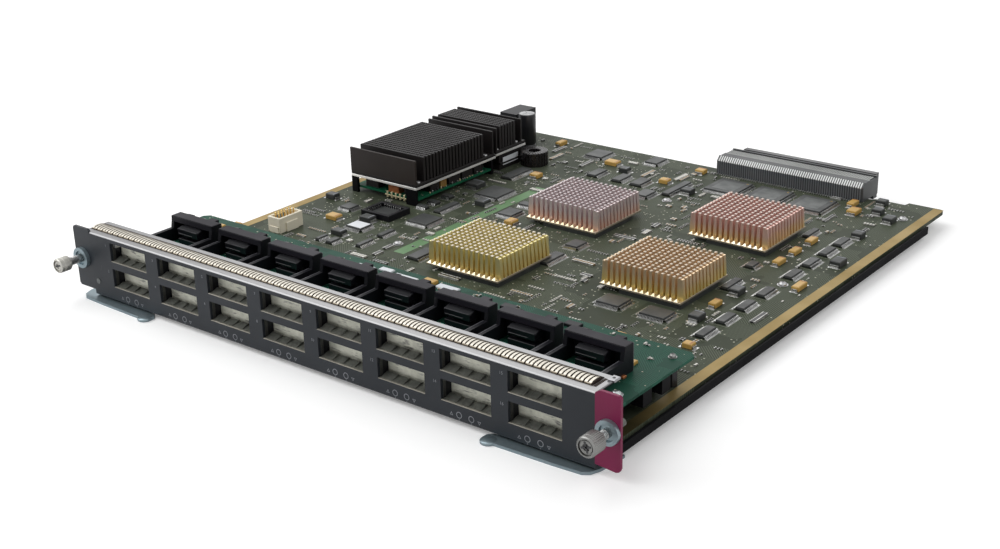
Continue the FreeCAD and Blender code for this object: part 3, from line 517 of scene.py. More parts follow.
# Colour, colour of the patches, roughness, and where they differ from the usual: metallic, scale of the
# patches, specular and bump.
PLAIN = {
    "charcoal_paint": ((0.020, 0.024, 0.030), (0.015, 0.018, 0.023), 0.42, 0, 25, 0.3, 0.1),
    "end_paint": ((0.022, 0.026, 0.032), (0.016, 0.019, 0.024), 0.4, 0, 25, 0.3, 0.1),
    "plum_paint": ((0.21, 0.014, 0.068), (0.165, 0.010, 0.052), 0.42, 0, 25, 0.25),
    "bare_steel": ((0.42, 0.42, 0.42), (0.30, 0.30, 0.31), 0.34, 1),
    "zinc": ((0.30, 0.37, 0.40), (0.20, 0.26, 0.29), 0.36, 0.75, 60),
    "zinc_bright": ((0.55, 0.58, 0.58), (0.25, 0.28, 0.29), 0.28, 0.9, 260),
    "knurled_steel": ((0.27, 0.27, 0.262), (0.16, 0.16, 0.155), 0.38, 1),
    # Painted light: a lighter copy of the knurled steel for the left knob.
    "knurl_bright": ((0.58, 0.57, 0.53), (0.40, 0.39, 0.36), 0.36, 1),
    "tinned": ((0.56, 0.56, 0.55), (0.3, 0.3, 0.3), 0.3, 1, 300),
    # Painted shade in slots, holes, recesses and notches; also the screw clips' own dark colour.
    "slot_dark": ((0.03, 0.03, 0.035), (0.02, 0.02, 0.02), 0.5),
    "gasket_shadow": ((0.03, 0.02, 0.014), (0.02, 0.013, 0.01), 0.6, 0, 25, 0.2),
    "black_steel": ((0.005, 0.005, 0.006), (0.0035, 0.0035, 0.004), 0.6, 0, 25, 0.05),
    "black_plastic": ((0.012, 0.012, 0.015), (0.008, 0.008, 0.010), 0.45, 0, 25, 0.2),
    "guide_black": ((0.009, 0.009, 0.012), (0.006, 0.006, 0.008), 0.42, 0, 25, 0.15),
    # Painted light: lighter tints of the black plastic for the caps' front and top faces.
    "guide_front": ((0.018, 0.015, 0.026), (0.012, 0.010, 0.018), 0.45, 0, 25, 0.2),
    "guide_top": ((0.014, 0.012, 0.018), (0.010, 0.009, 0.013), 0.5, 0, 25, 0.15),
    # Painted highlight for the guides' edges.
    "edge_glint": ((0.10, 0.10, 0.11), (0.06, 0.06, 0.07), 0.4),
    "socket_black": ((0.008, 0.008, 0.010), (0.005, 0.005, 0.007), 0.35, 0, 25, 0.2),
    # Painted highlight for the bars on the sockets.
    "socket_glint": ((0.036, 0.035, 0.042), (0.010, 0.010, 0.012), 0.35, 0.2, 160),
    "cage_steel": ((0.175, 0.18, 0.16), (0.085, 0.088, 0.078), 0.4, 0.3, 200, 0.3),
    "lip_steel": ((0.33, 0.31, 0.26), (0.22, 0.21, 0.18), 0.4, 0.4),
    "print_grey": ((0.24, 0.25, 0.27), (0.16, 0.17, 0.19), 0.6, 0, 25, 0.3),
    "print_dim": ((0.06, 0.06, 0.07), (0.04, 0.04, 0.045), 0.6, 0, 25, 0.3),
    # Painted highlight: a near-white copy of the pin gold for the pins' feet.
    "foot_bright": ((0.80, 0.73, 0.56), (0.62, 0.53, 0.34), 0.34, 0.8),
    "black_aluminium": ((0.012, 0.011, 0.012), (0.008, 0.008, 0.008), 0.42, 0, 25, 0.25),
    "fin_black": ((0.0105, 0.0085, 0.0085), (0.0075, 0.006, 0.006), 0.5, 0, 25, 0.25),
    "plate_bright": ((0.82, 0.81, 0.79), (0.7, 0.69, 0.67), 0.4, 0.7),
    "winding_copper": ((0.36, 0.12, 0.035), (0.22, 0.07, 0.02), 0.4, 0.3, 400),
    "winding_ochre": ((0.3, 0.17, 0.04), (0.2, 0.11, 0.025), 0.45, 0, 400),
    "plate_tan": ((0.4, 0.35, 0.27), (0.28, 0.24, 0.18), 0.4, 0.7),
    # Painted shade for the side walls inside the ports.
    "cage_dark": ((0.03, 0.03, 0.028), (0.02, 0.02, 0.018), 0.45),
    "winding_dark": ((0.020, 0.017, 0.018), (0.010, 0.008, 0.009), 0.25, 0.2, 500),
    "pin_cream": ((0.7, 0.62, 0.4), (0.55, 0.48, 0.3), 0.35, 0.5),
    "label_white": ((0.72, 0.74, 0.77), (0.6, 0.63, 0.66), 0.5),
    "chip_black": ((0.043, 0.046, 0.045), (0.024, 0.026, 0.026), 0.45, 0, 90, 0.35),
    "chip_lid": ((0.085, 0.092, 0.090), (0.052, 0.058, 0.056), 0.4, 0, 150, 0.3),
    "can_silver": ((0.03, 0.03, 0.035), (0.02, 0.02, 0.024), 0.35),
    "sleeve_black": ((0.014, 0.014, 0.017), (0.009, 0.009, 0.011), 0.3, 0, 25, 0.4),
    "can_top": ((0.38, 0.385, 0.39), (0.26, 0.26, 0.265), 0.4, 0.7, 400),
    "coil_dark": ((0.05, 0.04, 0.035), (0.03, 0.025, 0.02), 0.4),
    "connector_grey": ((0.075, 0.078, 0.080), (0.05, 0.052, 0.055), 0.45, 0, 25, 0.3),
    "connector_light": ((0.86, 0.87, 0.86), (0.66, 0.67, 0.66), 0.42, 0, 25, 0.4),
    "connector_bar": ((0.36, 0.37, 0.36), (0.26, 0.27, 0.26), 0.45, 0, 25, 0.3),
    "connector_rib": ((0.20, 0.21, 0.225), (0.13, 0.14, 0.15), 0.45, 0, 25, 0.3),
    "board_print": ((0.26, 0.27, 0.22), (0.17, 0.18, 0.14), 0.6, 0, 25, 0.2),
    "ivory": ((0.85, 0.80, 0.66), (0.76, 0.70, 0.55), 0.45),
    "contact_gold": ((0.8, 0.6, 0.28), (0.7, 0.5, 0.2), 0.25, 1),
    "edge_gold": ((0.37, 0.27, 0.11), (0.275, 0.195, 0.072), 0.5, 0.2, 40, 0.1),
    "cover_brown": ((0.026, 0.019, 0.016), (0.015, 0.011, 0.010), 0.5, 0, 14, 0.25),
    "tantalum_yellow": ((0.58, 0.36, 0.10), (0.45, 0.27, 0.06), 0.42, 0, 25, 0.4),
    "tantalum_band": ((0.35, 0.13, 0.03), (0.28, 0.1, 0.025), 0.45),
    "small_tan": ((0.34, 0.24, 0.13), (0.26, 0.18, 0.1), 0.45),
    "small_dark": ((0.03, 0.03, 0.033), (0.02, 0.02, 0.022), 0.4),
    "small_white": ((0.55, 0.53, 0.47), (0.45, 0.43, 0.38), 0.45),
    "stripe_green": ((0.075, 0.19, 0.06), (0.06, 0.15, 0.045), 0.4, 0, 60, 0.3),
    "socket_shadow": ((0.006, 0.006, 0.007), (0.004, 0.004, 0.005), 0.6, 0, 25, 0.1),
    "solder": ((0.40, 0.40, 0.38), (0.22, 0.22, 0.21), 0.36, 0.9, 300),
    "lens_clear": ((0.11, 0.12, 0.12), (0.07, 0.08, 0.08), 0.25),
}
# Solder mask, tracks, their pitch and width, how many vias, and scale of the track patches.
BOARDS = {
    "board_green": ((0.047, 0.056, 0.037), (0.092, 0.106, 0.074), 1.25, 0.4, 0.6),
    "deck_green": ((0.013, 0.056, 0.037), (0.022, 0.092, 0.062), 1.1, 0.4, 0.35, 90),
    "module_green": ((0.01, 0.10, 0.05), (0.02, 0.16, 0.08), 1.0, 0.3, 0.5),
    # Painted light: a brighter copy of the deck green for the floor of each bay.
    "bay_green": ((0.020, 0.20, 0.14), (0.05, 0.36, 0.27), 1.3, 0.25, 0.5, 120),
}
# Tip, upper sides, and lower sides with a painted reflection of the plate, in the order of the heatsinks.
PINS = {
    "pin_gold": ((0.46, 0.41, 0.33), (0.80, 0.715, 0.36), (0.86, 0.68, 0.26)),
    "pin_pink": ((0.34, 0.295, 0.30), (0.68, 0.585, 0.59), (0.90, 0.62, 0.52)),
    "pin_amber": ((0.40, 0.33, 0.255), (0.73, 0.555, 0.36), (0.88, 0.68, 0.25)),
    "pin_copper": ((0.42, 0.34, 0.305), (0.73, 0.495, 0.44), (0.88, 0.62, 0.30)),
}
FINISH = {name: make(name, *values)
          for make, table in ((plain_finish, PLAIN), (board_finish, BOARDS), (pin_finish, PINS))
          for name, values in table.items()}
# The second colour is the painted shade on the fingers.
FINISH["spring_gold"] = spring_finish("spring_gold", (0.58, 0.545, 0.475), (0.14, 0.115, 0.08))
FINISH["door_metal"] = door_finish("door_metal", (0.79, 0.79, 0.68), (0.58, 0.585, 0.50),
                                   (0.20, 0.195, 0.185))
bare_above(FINISH["charcoal_paint"], 0.0400, (0.27, 0.27, 0.275), 0.36)
# The gold rails darken towards the front: painted shadow of the deck above them.
dull_in_front(FINISH["edge_gold"], -0.158, -0.108, (0.050, 0.041, 0.017))

# Carried-over nodes whose finish differs from that of their slot.
OWN_FINISH = {"left_end_bracket": "end_paint", "left_screw_clip": "slot_dark",
              "right_screw_clip": "slot_dark"}


def dress_carried_nodes():
    for node, thing in NODES.items():
        thing.data.materials.clear()
        thing.data.materials.append(FINISH[OWN_FINISH.get(node, MATERIAL_OF[node])])


# ---------------------------------------------------------------- faceplate, gasket and ports

def make_gasket():
    """Bowed spring loops on a strip along the flange: each finger has two legs and a low bridge."""
    bow = [(5.0, 35.1), (5.5, 35.75), (6.4, 36.15), (7.6, 36.4), (9.2, 36.5), (10.8, 36.35), (12.2, 36.0),
           (13.2, 35.55), (13.8, 35.05)]
    bridge = [(5.0, 35.1), (5.25, 35.45), (5.55, 35.6)]
    thick = 0.3
    loop = Shape()
    for start, stop, line in ((0.0, 1.4, bow), (2.3, 3.7, bow), (1.4, 2.3, bridge)):
        loop.loft([[(start, back, up), (stop, back, up), (stop, back, up - thick), (start, back, up - thick)]
                   for back, up in line], "spring_gold")
    lattice("gasket_loops", loop, "spring_gold", (11.2, 0, 0), GASKET_FINGERS, FINGER_PITCH,
            stands_for=("emi_gasket",), smooth=50)
    # The strip under the loops, its rear edge and a core under the arches take a painted shadow colour.
    strip = Shape(((10.6, 4.7, 34.85), (360.8, 14.1, 35.05), "gasket_shadow"),
                  ((10.9, 13.9, PANEL_TOP), (360.6, 14.4, 35.2), "gasket_shadow"))
    core = [(back, up - 0.42) for back, up in bow[1:-1]]
    strip.prism([(core[0][0], PANEL_TOP), (core[-1][0], PANEL_TOP)] + core[::-1], 11.0, 360.4,
                "gasket_shadow")
    strip.slab((361.2, 4.8, 34.85), (362.6, 14.0, 35.02), "gasket_shadow")
    strip.slab((363.4, 12.6, 34.85), (367.2, 17.6, 36.0), "bare_steel", 0.3)
    # The hole in the bracket is a dark disc: painted shade.
    strip.turn([(AXIS, 0), (0.8, 0), (0.8, 0.06), (AXIS, 0.06)], (365.3, 15.1, 36.0), "slot_dark", 12)
    strip.piece("gasket_strip")


def make_panel_trim():
    """Bright lips, sill tabs and the small stampings inside each opening; the side walls inside it and the
    floor between the tabs are painted shade.
    """
    lips = Shape()
    for left, sill, row, column in PORTS:
        top = sill + PORT_HEIGHT
        lips.slab((left, -0.02, sill - 0.12), (left + PORT_WIDTH, 1.2, sill + 0.16), "lip_steel", 0.1)
        lips.slab((left + 0.1, 0.6, top - 0.25), (left + PORT_WIDTH - 0.1, 1.6, top - 0.02), "cage_steel")
    lips.piece("port_lips")
    floor = Shape()
    # The floor under the tabs, dark where it shows between them, is painted shade.
    floor.prism([(1.0, 0.0), (6.9, 0.0), (6.9, 1.0), (1.0, 0.18)], 0.2, PORT_WIDTH - 0.2, "slot_dark")
    for start, stop in ((1.2, 8.4), (11.4, 15.8), (18.8, 23.4), (26.4, 29.6)):
        floor.prism([(1.3, 0.2), (6.4, 0.9), (6.4, 1.6), (5.6, 2.0), (1.3, 0.5)], start, stop, "cage_steel")
    scatter("port_floors", floor, "cage_steel", [(left, 0.0, sill) for left, sill, row, column in PORTS])
    bits = Shape(((PORT_LEFT + 0.6, 2.2, 29.0), (PORT_LEFT + 3.0, 5.2, 31.6), "tinned", 0.3))
    # Near-black side walls inside each opening: painted shade, a dark copy of the cage's steel.
    for side in (0.0, PORT_WIDTH - 0.5):
        for left, sill, row, column in PORTS:
            bits.slab((left + side, 1.6, sill + 0.4), (left + side + 0.5, 3.4, sill + PORT_HEIGHT - 0.4),
                      "cage_dark")
    bits.piece("cage_edges")


PRINT_FRONT, PRINT_BACK = -0.03, 0.02


def number_mesh(text, size, across, up):
    """Flat digits on the front face."""
    curve = bpy.data.curves.new("number", "FONT")
    curve.body = text
    curve.size = size * MM
    curve.align_x = curve.align_y = "CENTER"
    curve.resolution_u = 2
    thing = linked("number", curve)
    bpy.context.view_layer.update()
    mesh = bpy.data.meshes.new_from_object(thing)
    upright = Matrix.Rotation(math.radians(90), 4, "X")
    mesh.transform(Matrix.Translation(at(across, PRINT_FRONT, up)) @ upright)
    bpy.data.objects.remove(thing)
    return mesh


def printed_ring(shape, across, up, outer, inner, sides, turned=0.0):
    """A thin printed outline on the front face: a ring, or a triangle with three sides."""
    def ring(radius, back):
        angles = [2 * math.pi * i / sides + turned for i in range(sides)]
        return [(across + radius * math.cos(angle), back, up + radius * math.sin(angle)) for angle in angles]
    shape.loft([ring(outer, PRINT_FRONT), ring(outer, PRINT_BACK), ring(inner, PRINT_BACK),
                ring(inner, PRINT_FRONT), ring(outer, PRINT_FRONT)], "print_grey", open_ends=True)


def make_panel_print():
    """Port numbers, and a pair of link marks and arrows under each column of ports."""
    soup = bmesh.new()
    for left, sill, row, column in PORTS:
        count = column * 2 + (1 if row == "upper" else 2)
        soup.from_mesh(number_mesh(str(count), 2.3, left - 3.7, sill + 8.8))
    set_out("port_numbers", mesh_from(soup, "port_numbers", "print_grey"), "card", ())
    marks = Shape()
    for column in range(PORT_COUNT):
        left = PORT_LEFT + column * PORT_PITCH
        for spot, turned in ((left + 6.2, math.pi / 2), (left + 23.2, -math.pi / 2)):
            printed_ring(marks, spot, -0.5, 1.25, 0.7, 3, turned)
        for spot in (left + 10.9, left + 18.4):
            printed_ring(marks, spot, 0.0, 1.75, 1.35, 16)
            marks.slab((spot - 0.2, PRINT_FRONT, -2.9), (spot + 0.2, PRINT_BACK, -2.1), "print_grey")
    marks.piece("port_marks")
    slash = Shape()
    slash.loft([[(20.9, back, 12.6), (21.6, back, 12.9), (23.1, back, 16.6), (22.5, back, 16.4)]
                for back in (PRINT_FRONT, PRINT_BACK)], "print_dim")
    slash.piece("status_mark")


# ---------------------------------------------------------------- captive screws and levers

def make_screws():
    """Knurled knobs with a dished face and a driver slot, on a necked shank."""
    teeth = 36
    for side, across, radius, length in (("left", 6.2, 4.3, 7.5), ("right", 372.8, 5.2, 9.0)):
        knob = Shape()
        rings = []
        for back, low, high in (
                (0.9, 0.002, 0.002), (0.9, 0.34, 0.34), (0.45, 0.36, 0.36), (0.42, 0.62, 0.62),
                (1.0, 0.66, 0.66), (1.0, 0.74, 0.74), (0.0, 0.77, 0.77), (0.0, 0.89, 0.89), (0.5, 0.95, 1.0),
                (2.6, 0.95, 1.0), (2.75, 0.92, 0.94), (2.95, 0.95, 1.0), (length - 0.5, 0.95, 1.0),
                (length, 0.88, 0.88)):
            ring = []
            for i in range(teeth * 2):
                reach = radius * (high if i % 2 else low)
                angle = -math.pi * i / teeth
                ring.append((across + reach * math.cos(angle), KNOB_FRONT + back,
                             SCREW_UP + reach * math.sin(angle)))
            rings.append(ring)
        # The left knob takes a lighter copy of the same steel: painted light.
        knob.loft(rings, "knurl_bright" if side == "left" else "knurled_steel")
        middle = Vector((across, KNOB_FRONT + 0.36, SCREW_UP))
        for turned in (0.3,) if side == "left" else (0.3, 0.3 + math.pi / 2):
            way = Vector((math.cos(turned), 0, math.sin(turned))) * radius * 0.55
            half = Vector((-math.sin(turned), 0, math.cos(turned))) * 0.5
            # The driver slot is a dark inlay: painted shade, not a cut.
            knob.loft(bar(middle - way, middle + way, half, (0, 0.4, 0)), "slot_dark")
        neck = KNOB_FRONT + length
        shank = [(AXIS, neck - 0.5), (3.3, neck - 0.4), (3.3, neck + 0.6), (2.4, neck + 0.9)]
        for step in range(5):
            back = neck + 1.4 + step * 0.9
            shank += [(2.4, back), (2.15, back + 0.15), (2.15, back + 0.3), (2.4, back + 0.45)]
        knob.turn(shank + [(2.4, 3.5), (2.05, 3.6), (AXIS, 3.7)], (across, 0, SCREW_UP), "tinned", 28, True)
        thread = [(AXIS, 3.6), (2.05, 3.6), (2.05, 4.6), (1.85, 4.7), (1.85, 11.2), (1.3, 11.7), (AXIS, 11.7)]
        knob.turn(thread, (across, 0, SCREW_UP), "cage_steel", 28, True)
        knob.piece(side + "_screw_dressed", side + "_screw", (side + "_captive_screw",), smooth=35)


def make_lever_tips():
    """The round finger pad at the end of each ejector lever."""
    reach = 45.6
    for side, middle in (("left", 17.0 + reach), ("right", 354.0 - reach)):
        pad = Shape()
        pad.turn([(AXIS, -5.8), (3.9, -5.8), (4.2, -5.5), (4.2, -4.4), (3.9, -4.1), (AXIS, -4.1)],
                 (middle, -4.6, 0), "zinc", 28)
        pad.piece(side + "_lever_pad", side + "_lever", smooth=50)


# ---------------------------------------------------------------- guides, doors and sockets

def make_guides():
    """The moulded guides and their caps, and the sockets with the deck seen between them; bars on the guides'
    edges and on the sockets are painted highlights, and the caps' faces and the deck between are painted
    lighter.
    """
    softened("upper_port_guides", 0.22, "guide_black")
    softened("port_sockets", 0.2, "socket_black")
    # Thin pale bars along the guides' top edges and one upright edge are painted highlights.
    edges = Shape(((0, 14.6, 26.98), (0.4, 46.2, 27.12), "edge_glint"),
                  ((32.4, 14.6, 26.98), (32.8, 46.2, 27.12), "edge_glint"),
                  ((34.4, 52.8, 20.0), (34.9, 55.2, 33.8), "edge_glint"))
    scatter("guide_edges", edges, "edge_glint", columns_at(-WALL))
    # The caps' front and top take lighter tints of the black plastic: painted light on those faces.
    caps = Shape(((0.2, 47.3, 30.9), (34.8, 47.42, 34.1), "guide_front"),
                 ((0.4, 47.8, 34.15), (34.6, 54.2, 34.28), "guide_top"),
                 ((4.4, 54.6, 31.8), (9.4, 57.2, 33.2), "guide_top"),
                 ((23.5, 54.6, 30.8), (29.0, 58.4, 34.0), "guide_top", 0.2))
    scatter("guide_caps", caps, "guide_top", columns_at(-WALL))
    # A brighter copy of the deck's green laid on the deck in each bay: painted light.
    bay = Shape(((0.4, 19.0, DECK_TOP), (PORT_WIDTH - 0.4, 45.0, DECK_TOP + 0.05), "bay_green"))
    scatter("bay_floors", bay, "bay_green", columns_at())
    left = (PORT_WIDTH - 17) / 2
    # Lighter bars on each socket are painted highlights along its edges and top.
    bars = Shape(((left + 0.4, 43.3, 29.0), (left + 16.6, 44.4, 29.3), "socket_glint", 0.1),
                 ((left + 0.8, 43.3, 26.2), (left + 12.6, 44.0, 26.5), "socket_glint", 0.1),
                 ((left + 2, 47.6, 29.95), (left + 15, 51.6, 30.1), "socket_glint"))
    scatter("socket_bars", bars, "socket_glint", columns_at())


def make_doors():
    """Each spring flap has a pressed frame, a raised field and a folded upper edge."""
    for left, sill, row, column in PORTS:
        node = "%s_door_%d" % (row, column + 1)
        (a, b, c), (d, e, f) = card_box(node)
        a, d = a + 1.55, d - 1.55
        flap = Shape(((a, b + 0.25, c), (d, e - 0.1, f), "door_metal", 0.15),
                     ((a + 0.9, b + 0.05, c + 2.0), (d - 0.9, b + 0.35, f - 0.9), "door_metal"),
                     ((a - 1.5, b + 0.1, f - 0.7), (d + 1.5, e - 0.1, f), "cage_steel"))
        flap.piece(node + "_flap", "%s_flap_%d" % (row, column + 1), (node,))


# ---------------------------------------------------------------- cooling

def make_heatsinks():
    """A dense field of tapered square pins; the outer rows are wider and lean on the plate's edge."""
    columns, rows = 14, 13
    for number, finish in enumerate(PINS, 1):
        node = "pin_heatsink_%d" % number
        (a, b, c), (d, e, f) = card_box(node)
        base = c + 1.1
        across, back = (d - a - 2.6) / columns, (e - b - 3.6) / rows
        wide, deep = across * 0.64, back * 0.64
        pin = Shape()
        pin.loft([plate(x, y, wide - x, deep - y, up) for up, x, y in
                  ((0, 0, 0), (f - base - 0.3, 0.32, 0.3), (f - base, 0.55, 0.5))], finish)
        lattice(node + "_pins", pin, finish, (a + 1.3 + across * 0.18, b + 2.6 + back * 0.18, base),
                columns, across, rows, back, stands_for=(node,))
        edge = Shape(((a + 0.9, b, c), (d, e, base), "plate_tan", 0.2))
        # The feet at the front of each column are much paler than the pins: painted highlights.
        for column in range(columns):
            left = a + 1.3 + across * (column + 0.12)
            edge.loft([plate(left, b + 0.2, left + across * 0.66, b + 2.4, base),
                       plate(left + across * 0.26, b + 1.5, left + across * 0.40, b + 2.4, base + 1.2)],
                      "foot_bright")
        for row in range(rows):
            spot = b + 2.6 + back * (row + 0.2)
            for side, way in ((a + 0.15, 1), (d - 0.15, -1)):
                edge.loft([plate(side + way * lean, spot, side + way * 2.2, spot + deep, up)[::way]
                           for lean, up in ((0, base), (0.9, f - 0.8))], finish)
        edge.piece(node + "_plate")


def make_covers():
    """The finned black covers of the two power modules, on bright plates."""
    for number, (front, rear), walls, screws, (first, fins, pitch) in (
            (1, (0, 0), ((0, 1.4), (-3.4, -2.0)), (5.2, -8.2), (9.2, 19, 3.35)),
            (2, (-5.8, -2.0), ((0.2, 1.6), (-5.3, -4.0)), (3.6, -7.6), (5.4, 6, 3.13))):
        node = "power_heatsink_%d" % number
        (a, b, c), (d, e, f) = card_box(node)
        b, e = b + front, e + rear
        Shape(((a, b, c), (d, e, c + 1.5), "plate_bright", 0.15)).piece("module_plate_%d" % number)
        shell = Shape(((a, b + 0.1, c + 1.45), (d, e - 0.1, c + 3.6), "fin_black", 0.2))
        for end, (start, stop) in zip((b, e), walls):
            shell.slab((a, end + start, c + 3.5), (d, end + stop, f - 0.1),
                       "fin_black" if start else "cover_brown", 0.2)
        for back in (b + screws[0], e + screws[1]):
            shell.turn([(AXIS, 0), (1.5, 0), (1.2, 0.9), (AXIS, 1.1)], (d - 2.6, back, c + 3.6),
                       "bare_steel", 14)
        shell.piece("module_cover_%d" % number, stands_for=(node,), bevel=0.12)
        length, top, teeth = d - a - 2.0, f - c - 3.5, 30
        outline = [(0, 0), (length, 0), (length, top - 0.5)]
        for tooth in range(teeth):
            right, left = (length - 0.3 - i * (length - 0.6) / teeth for i in (tooth, tooth + 1))
            outline += [(right, top), (left + 0.55, top), (left + 0.5, top - 0.22), (left + 0.05, top - 0.22)]
        outline += [(0, top - 0.5)]
        fin = Shape()
        fin.loft([[(x, back, z) for x, z in outline] for back in (0.0, 2.1)], "fin_black")
        lattice("module_fins_%d" % number, fin, "fin_black", (a + 1.0, b + first, c + 3.5), 1, 0.0,
                fins, pitch)


def make_module_boards():
    """The green board of each power module, with wound parts and the front module's row of legs."""
    pick = random.Random(9)
    (a, b, c), (d, e, f) = card_box("power_module_1")
    floor = c + 1.4
    module = Shape(((a, b, c), (d, e, floor), "module_green", 0.1),
                   ((a + 9, b + 12, floor), (d - 10, e - 2, f), "fin_black"),
                   ((a + 8, b + 2.0, floor), (a + 19, b + 8.0, f - 0.6), "fin_black", 0.4),
                   ((a + 29, b + 1.0, floor), (a + 38, b + 6.5, f - 1.4), "winding_copper", 0.8),
                   ((a + 41, b + 3.0, floor), (a + 48, b + 8.5, f - 1.4), "fin_black", 0.8))
    for start, long, finish in ((15, 9, "fin_black"), (25.5, 6, "winding_ochre"), (34, 12, "fin_black"),
                                (48, 11, "fin_black"), (61, 9, "fin_black")):
        module.slab((d - 8.6, b + start, floor), (d - 1.8, b + start + long, f - 1.0), finish, 0.7)
    for spot in range(22):
        start = b + 13 + spot * 2.8 + pick.uniform(-0.6, 0.6)
        tall = pick.choice((0.6, 1.0, 1.6))
        module.slab((d - 1.5, start, c + 1.3), (d - 0.6, start + 0.8, floor + tall),
                    pick.choice(("tinned", "pin_cream", "small_dark")), 0.2)
    module.slab((a + 26.5, b - 0.1, c - 0.9), (a + 51.5, b + 1.0, c - 0.2), "pin_cream", 0.1)
    for leg in range(6):
        left = a + 28 + leg * 3.7
        module.slab((left, b - 0.15, c - 2.2), (left + 1.4, b + 1.1, c + 1.9), "pin_cream", 0.2)
    (a, b, c), (d, e, f) = card_box("power_module_2")
    module.slab((a, b, c), (d, e, c + 1.4), "fin_black", 0.1)
    module.slab((a + 9, b + 12, c + 1.4), (d - 10, e - 2, f), "fin_black")
    module.slab((d - 9, b, BOARD_TOP), (d - 1.2, e, f), "fin_black", 0.3)
    module.slab((82.75, 297.0, 7.4), (82.95, 314.2, 12.9), "label_white")
    module.piece("module_boards", stands_for=("power_module_1", "power_module_2"))


# ---------------------------------------------------------------- parts on the boards

def chip_body(shape, low, high, sides, lead):
    """A moulded package: its sides taper both ways from the parting line, over a small gap."""
    (a, b, c), (d, e, f) = low, high
    middle, draft = (c + f) / 2, 0.25
    across = min(lead, (d - a) * 0.2) if "l" in sides else 0.2
    back = min(lead, (e - b) * 0.2) if "f" in sides else 0.2
    a, b, d, e = a + across, b + back, d - across, e - back
    shape.loft([plate(a, b, d, e, up, inset) for up, inset in (
        (c + 0.15, draft), (middle - 0.1, 0), (middle + 0.1, 0), (f - 0.15, draft), (f, draft + 0.15))],
               "chip_black")
    return a, b, d, e


def lead_shape(reach, tall, wide):
    """A gull-wing lead that leaves the package at x = 0 and stands on the board at x = reach."""
    thick = 0.18
    lead = Shape()
    lead.loft([[(x, -wide, z), (x, wide, z), (x, wide, z - thick), (x, -wide, z - thick)] for x, z in
               ((-0.2, tall), (reach * 0.35, tall), (reach * 0.55, 0.2), (reach, 0.2))], "tinned")
    lead.slab((reach * 0.5, -wide - 0.06, 0.0), (reach + 0.3, wide + 0.06, 0.06), "tinned")
    return lead


def chip_leads(low, high, pitch, sides, lead):
    """Spots and turns of the leads along the named sides of a package."""
    (a, b, c), (d, e, f) = low, high
    inner = lead - 0.1
    margin = lead if len(sides) == 4 else 0.3
    spots = []
    for side in sides:
        start, stop = (a, d) if side in "fb" else (b, e)
        count = max(2, int((stop - start - 2 * margin - 0.6) / pitch) + 1)
        for i in range(count):
            along = (start + stop) / 2 - pitch * (count - 1) / 2 + i * pitch
            across, back, turn = {"f": (along, b + inner, -math.pi / 2), "b": (along, e - inner, math.pi / 2),
                                  "l": (a + inner, along, math.pi), "r": (d - inner, along, 0.0)}[side]
            spots.append((across, back, BOARD_TOP, turn))
    return spots


def frame_lines(low, high):
    """Four printed lines on the board just outside a package's leads."""
    a, b, d, e = low[0] - 0.9, low[1] - 0.9, high[0] + 0.9, high[1] + 0.9
    level, upright = (0.0, (d - a, 1, 1)), (math.pi / 2, (e - b, 1, 1))
    return [(a, b, BOARD_TOP, *level), (a, e, BOARD_TOP, *level),
            (a, b, BOARD_TOP, *upright), (d, b, BOARD_TOP, *upright)]


def make_chips():
    """Packages in three kinds: large lidded ones, square ones and two-row ones."""
    bodies = Shape()
    fine, coarse, frames = [], [], []
    for low, high in solids_of("logic_chips"):
        (a, b, c), (d, e, f) = low, high
        wide, deep = d - a, e - b
        large = min(wide, deep) > 27
        square = min(wide, deep) > 12 and max(wide, deep) < 26
        labelled = abs(a - LABELLED[0]) < 1 and abs(b - LABELLED[1]) < 1
        if large or square:
            left, front, right, rear = chip_body(bodies, low, high, "fblr", 2.0)
            fine += chip_leads(low, high, FINE_PITCH, "fblr", 2.0)
            if labelled:
                bodies.slab((left + 0.8, front + 0.8, f), (right - 0.8, rear - 0.8, f + 0.05), "label_white")
        else:
            sides = "lr" if deep >= wide else "fb"
            chip_body(bodies, low, high, sides, 1.9)
            coarse += chip_leads(low, high, COARSE_PITCH, sides, 1.9)
        if large:
            bodies.slab((a + 6.0, b + 6.0, f), (d - 6.0, e - 6.0, f + 0.04), "chip_lid")
            bodies.slab((d - 5.6, e - 5.6, f), (d - 4.2, e - 4.2, f + 0.06), "contact_gold")
        else:
            frames += frame_lines(low, high)
        if not labelled:
            bodies.turn([(AXIS, 0), (0.45, 0), (0.45, 0.03), (AXIS, 0.03)], (a + 3.0, e - 3.0, f),
                        "chip_lid", 10)
    bodies.piece("chip_packages", stands_for=("logic_chips",))
    scatter("chip_outlines", Shape(((0, -0.13, 0), (1, 0.13, 0.03), "board_print")), "board_print", frames)
    scatter("chip_leads_fine", lead_shape(2.1, 1.3, 0.26), "tinned", fine)
    scatter("chip_leads_coarse", lead_shape(2.3, 1.3, 0.4), "tinned", coarse)


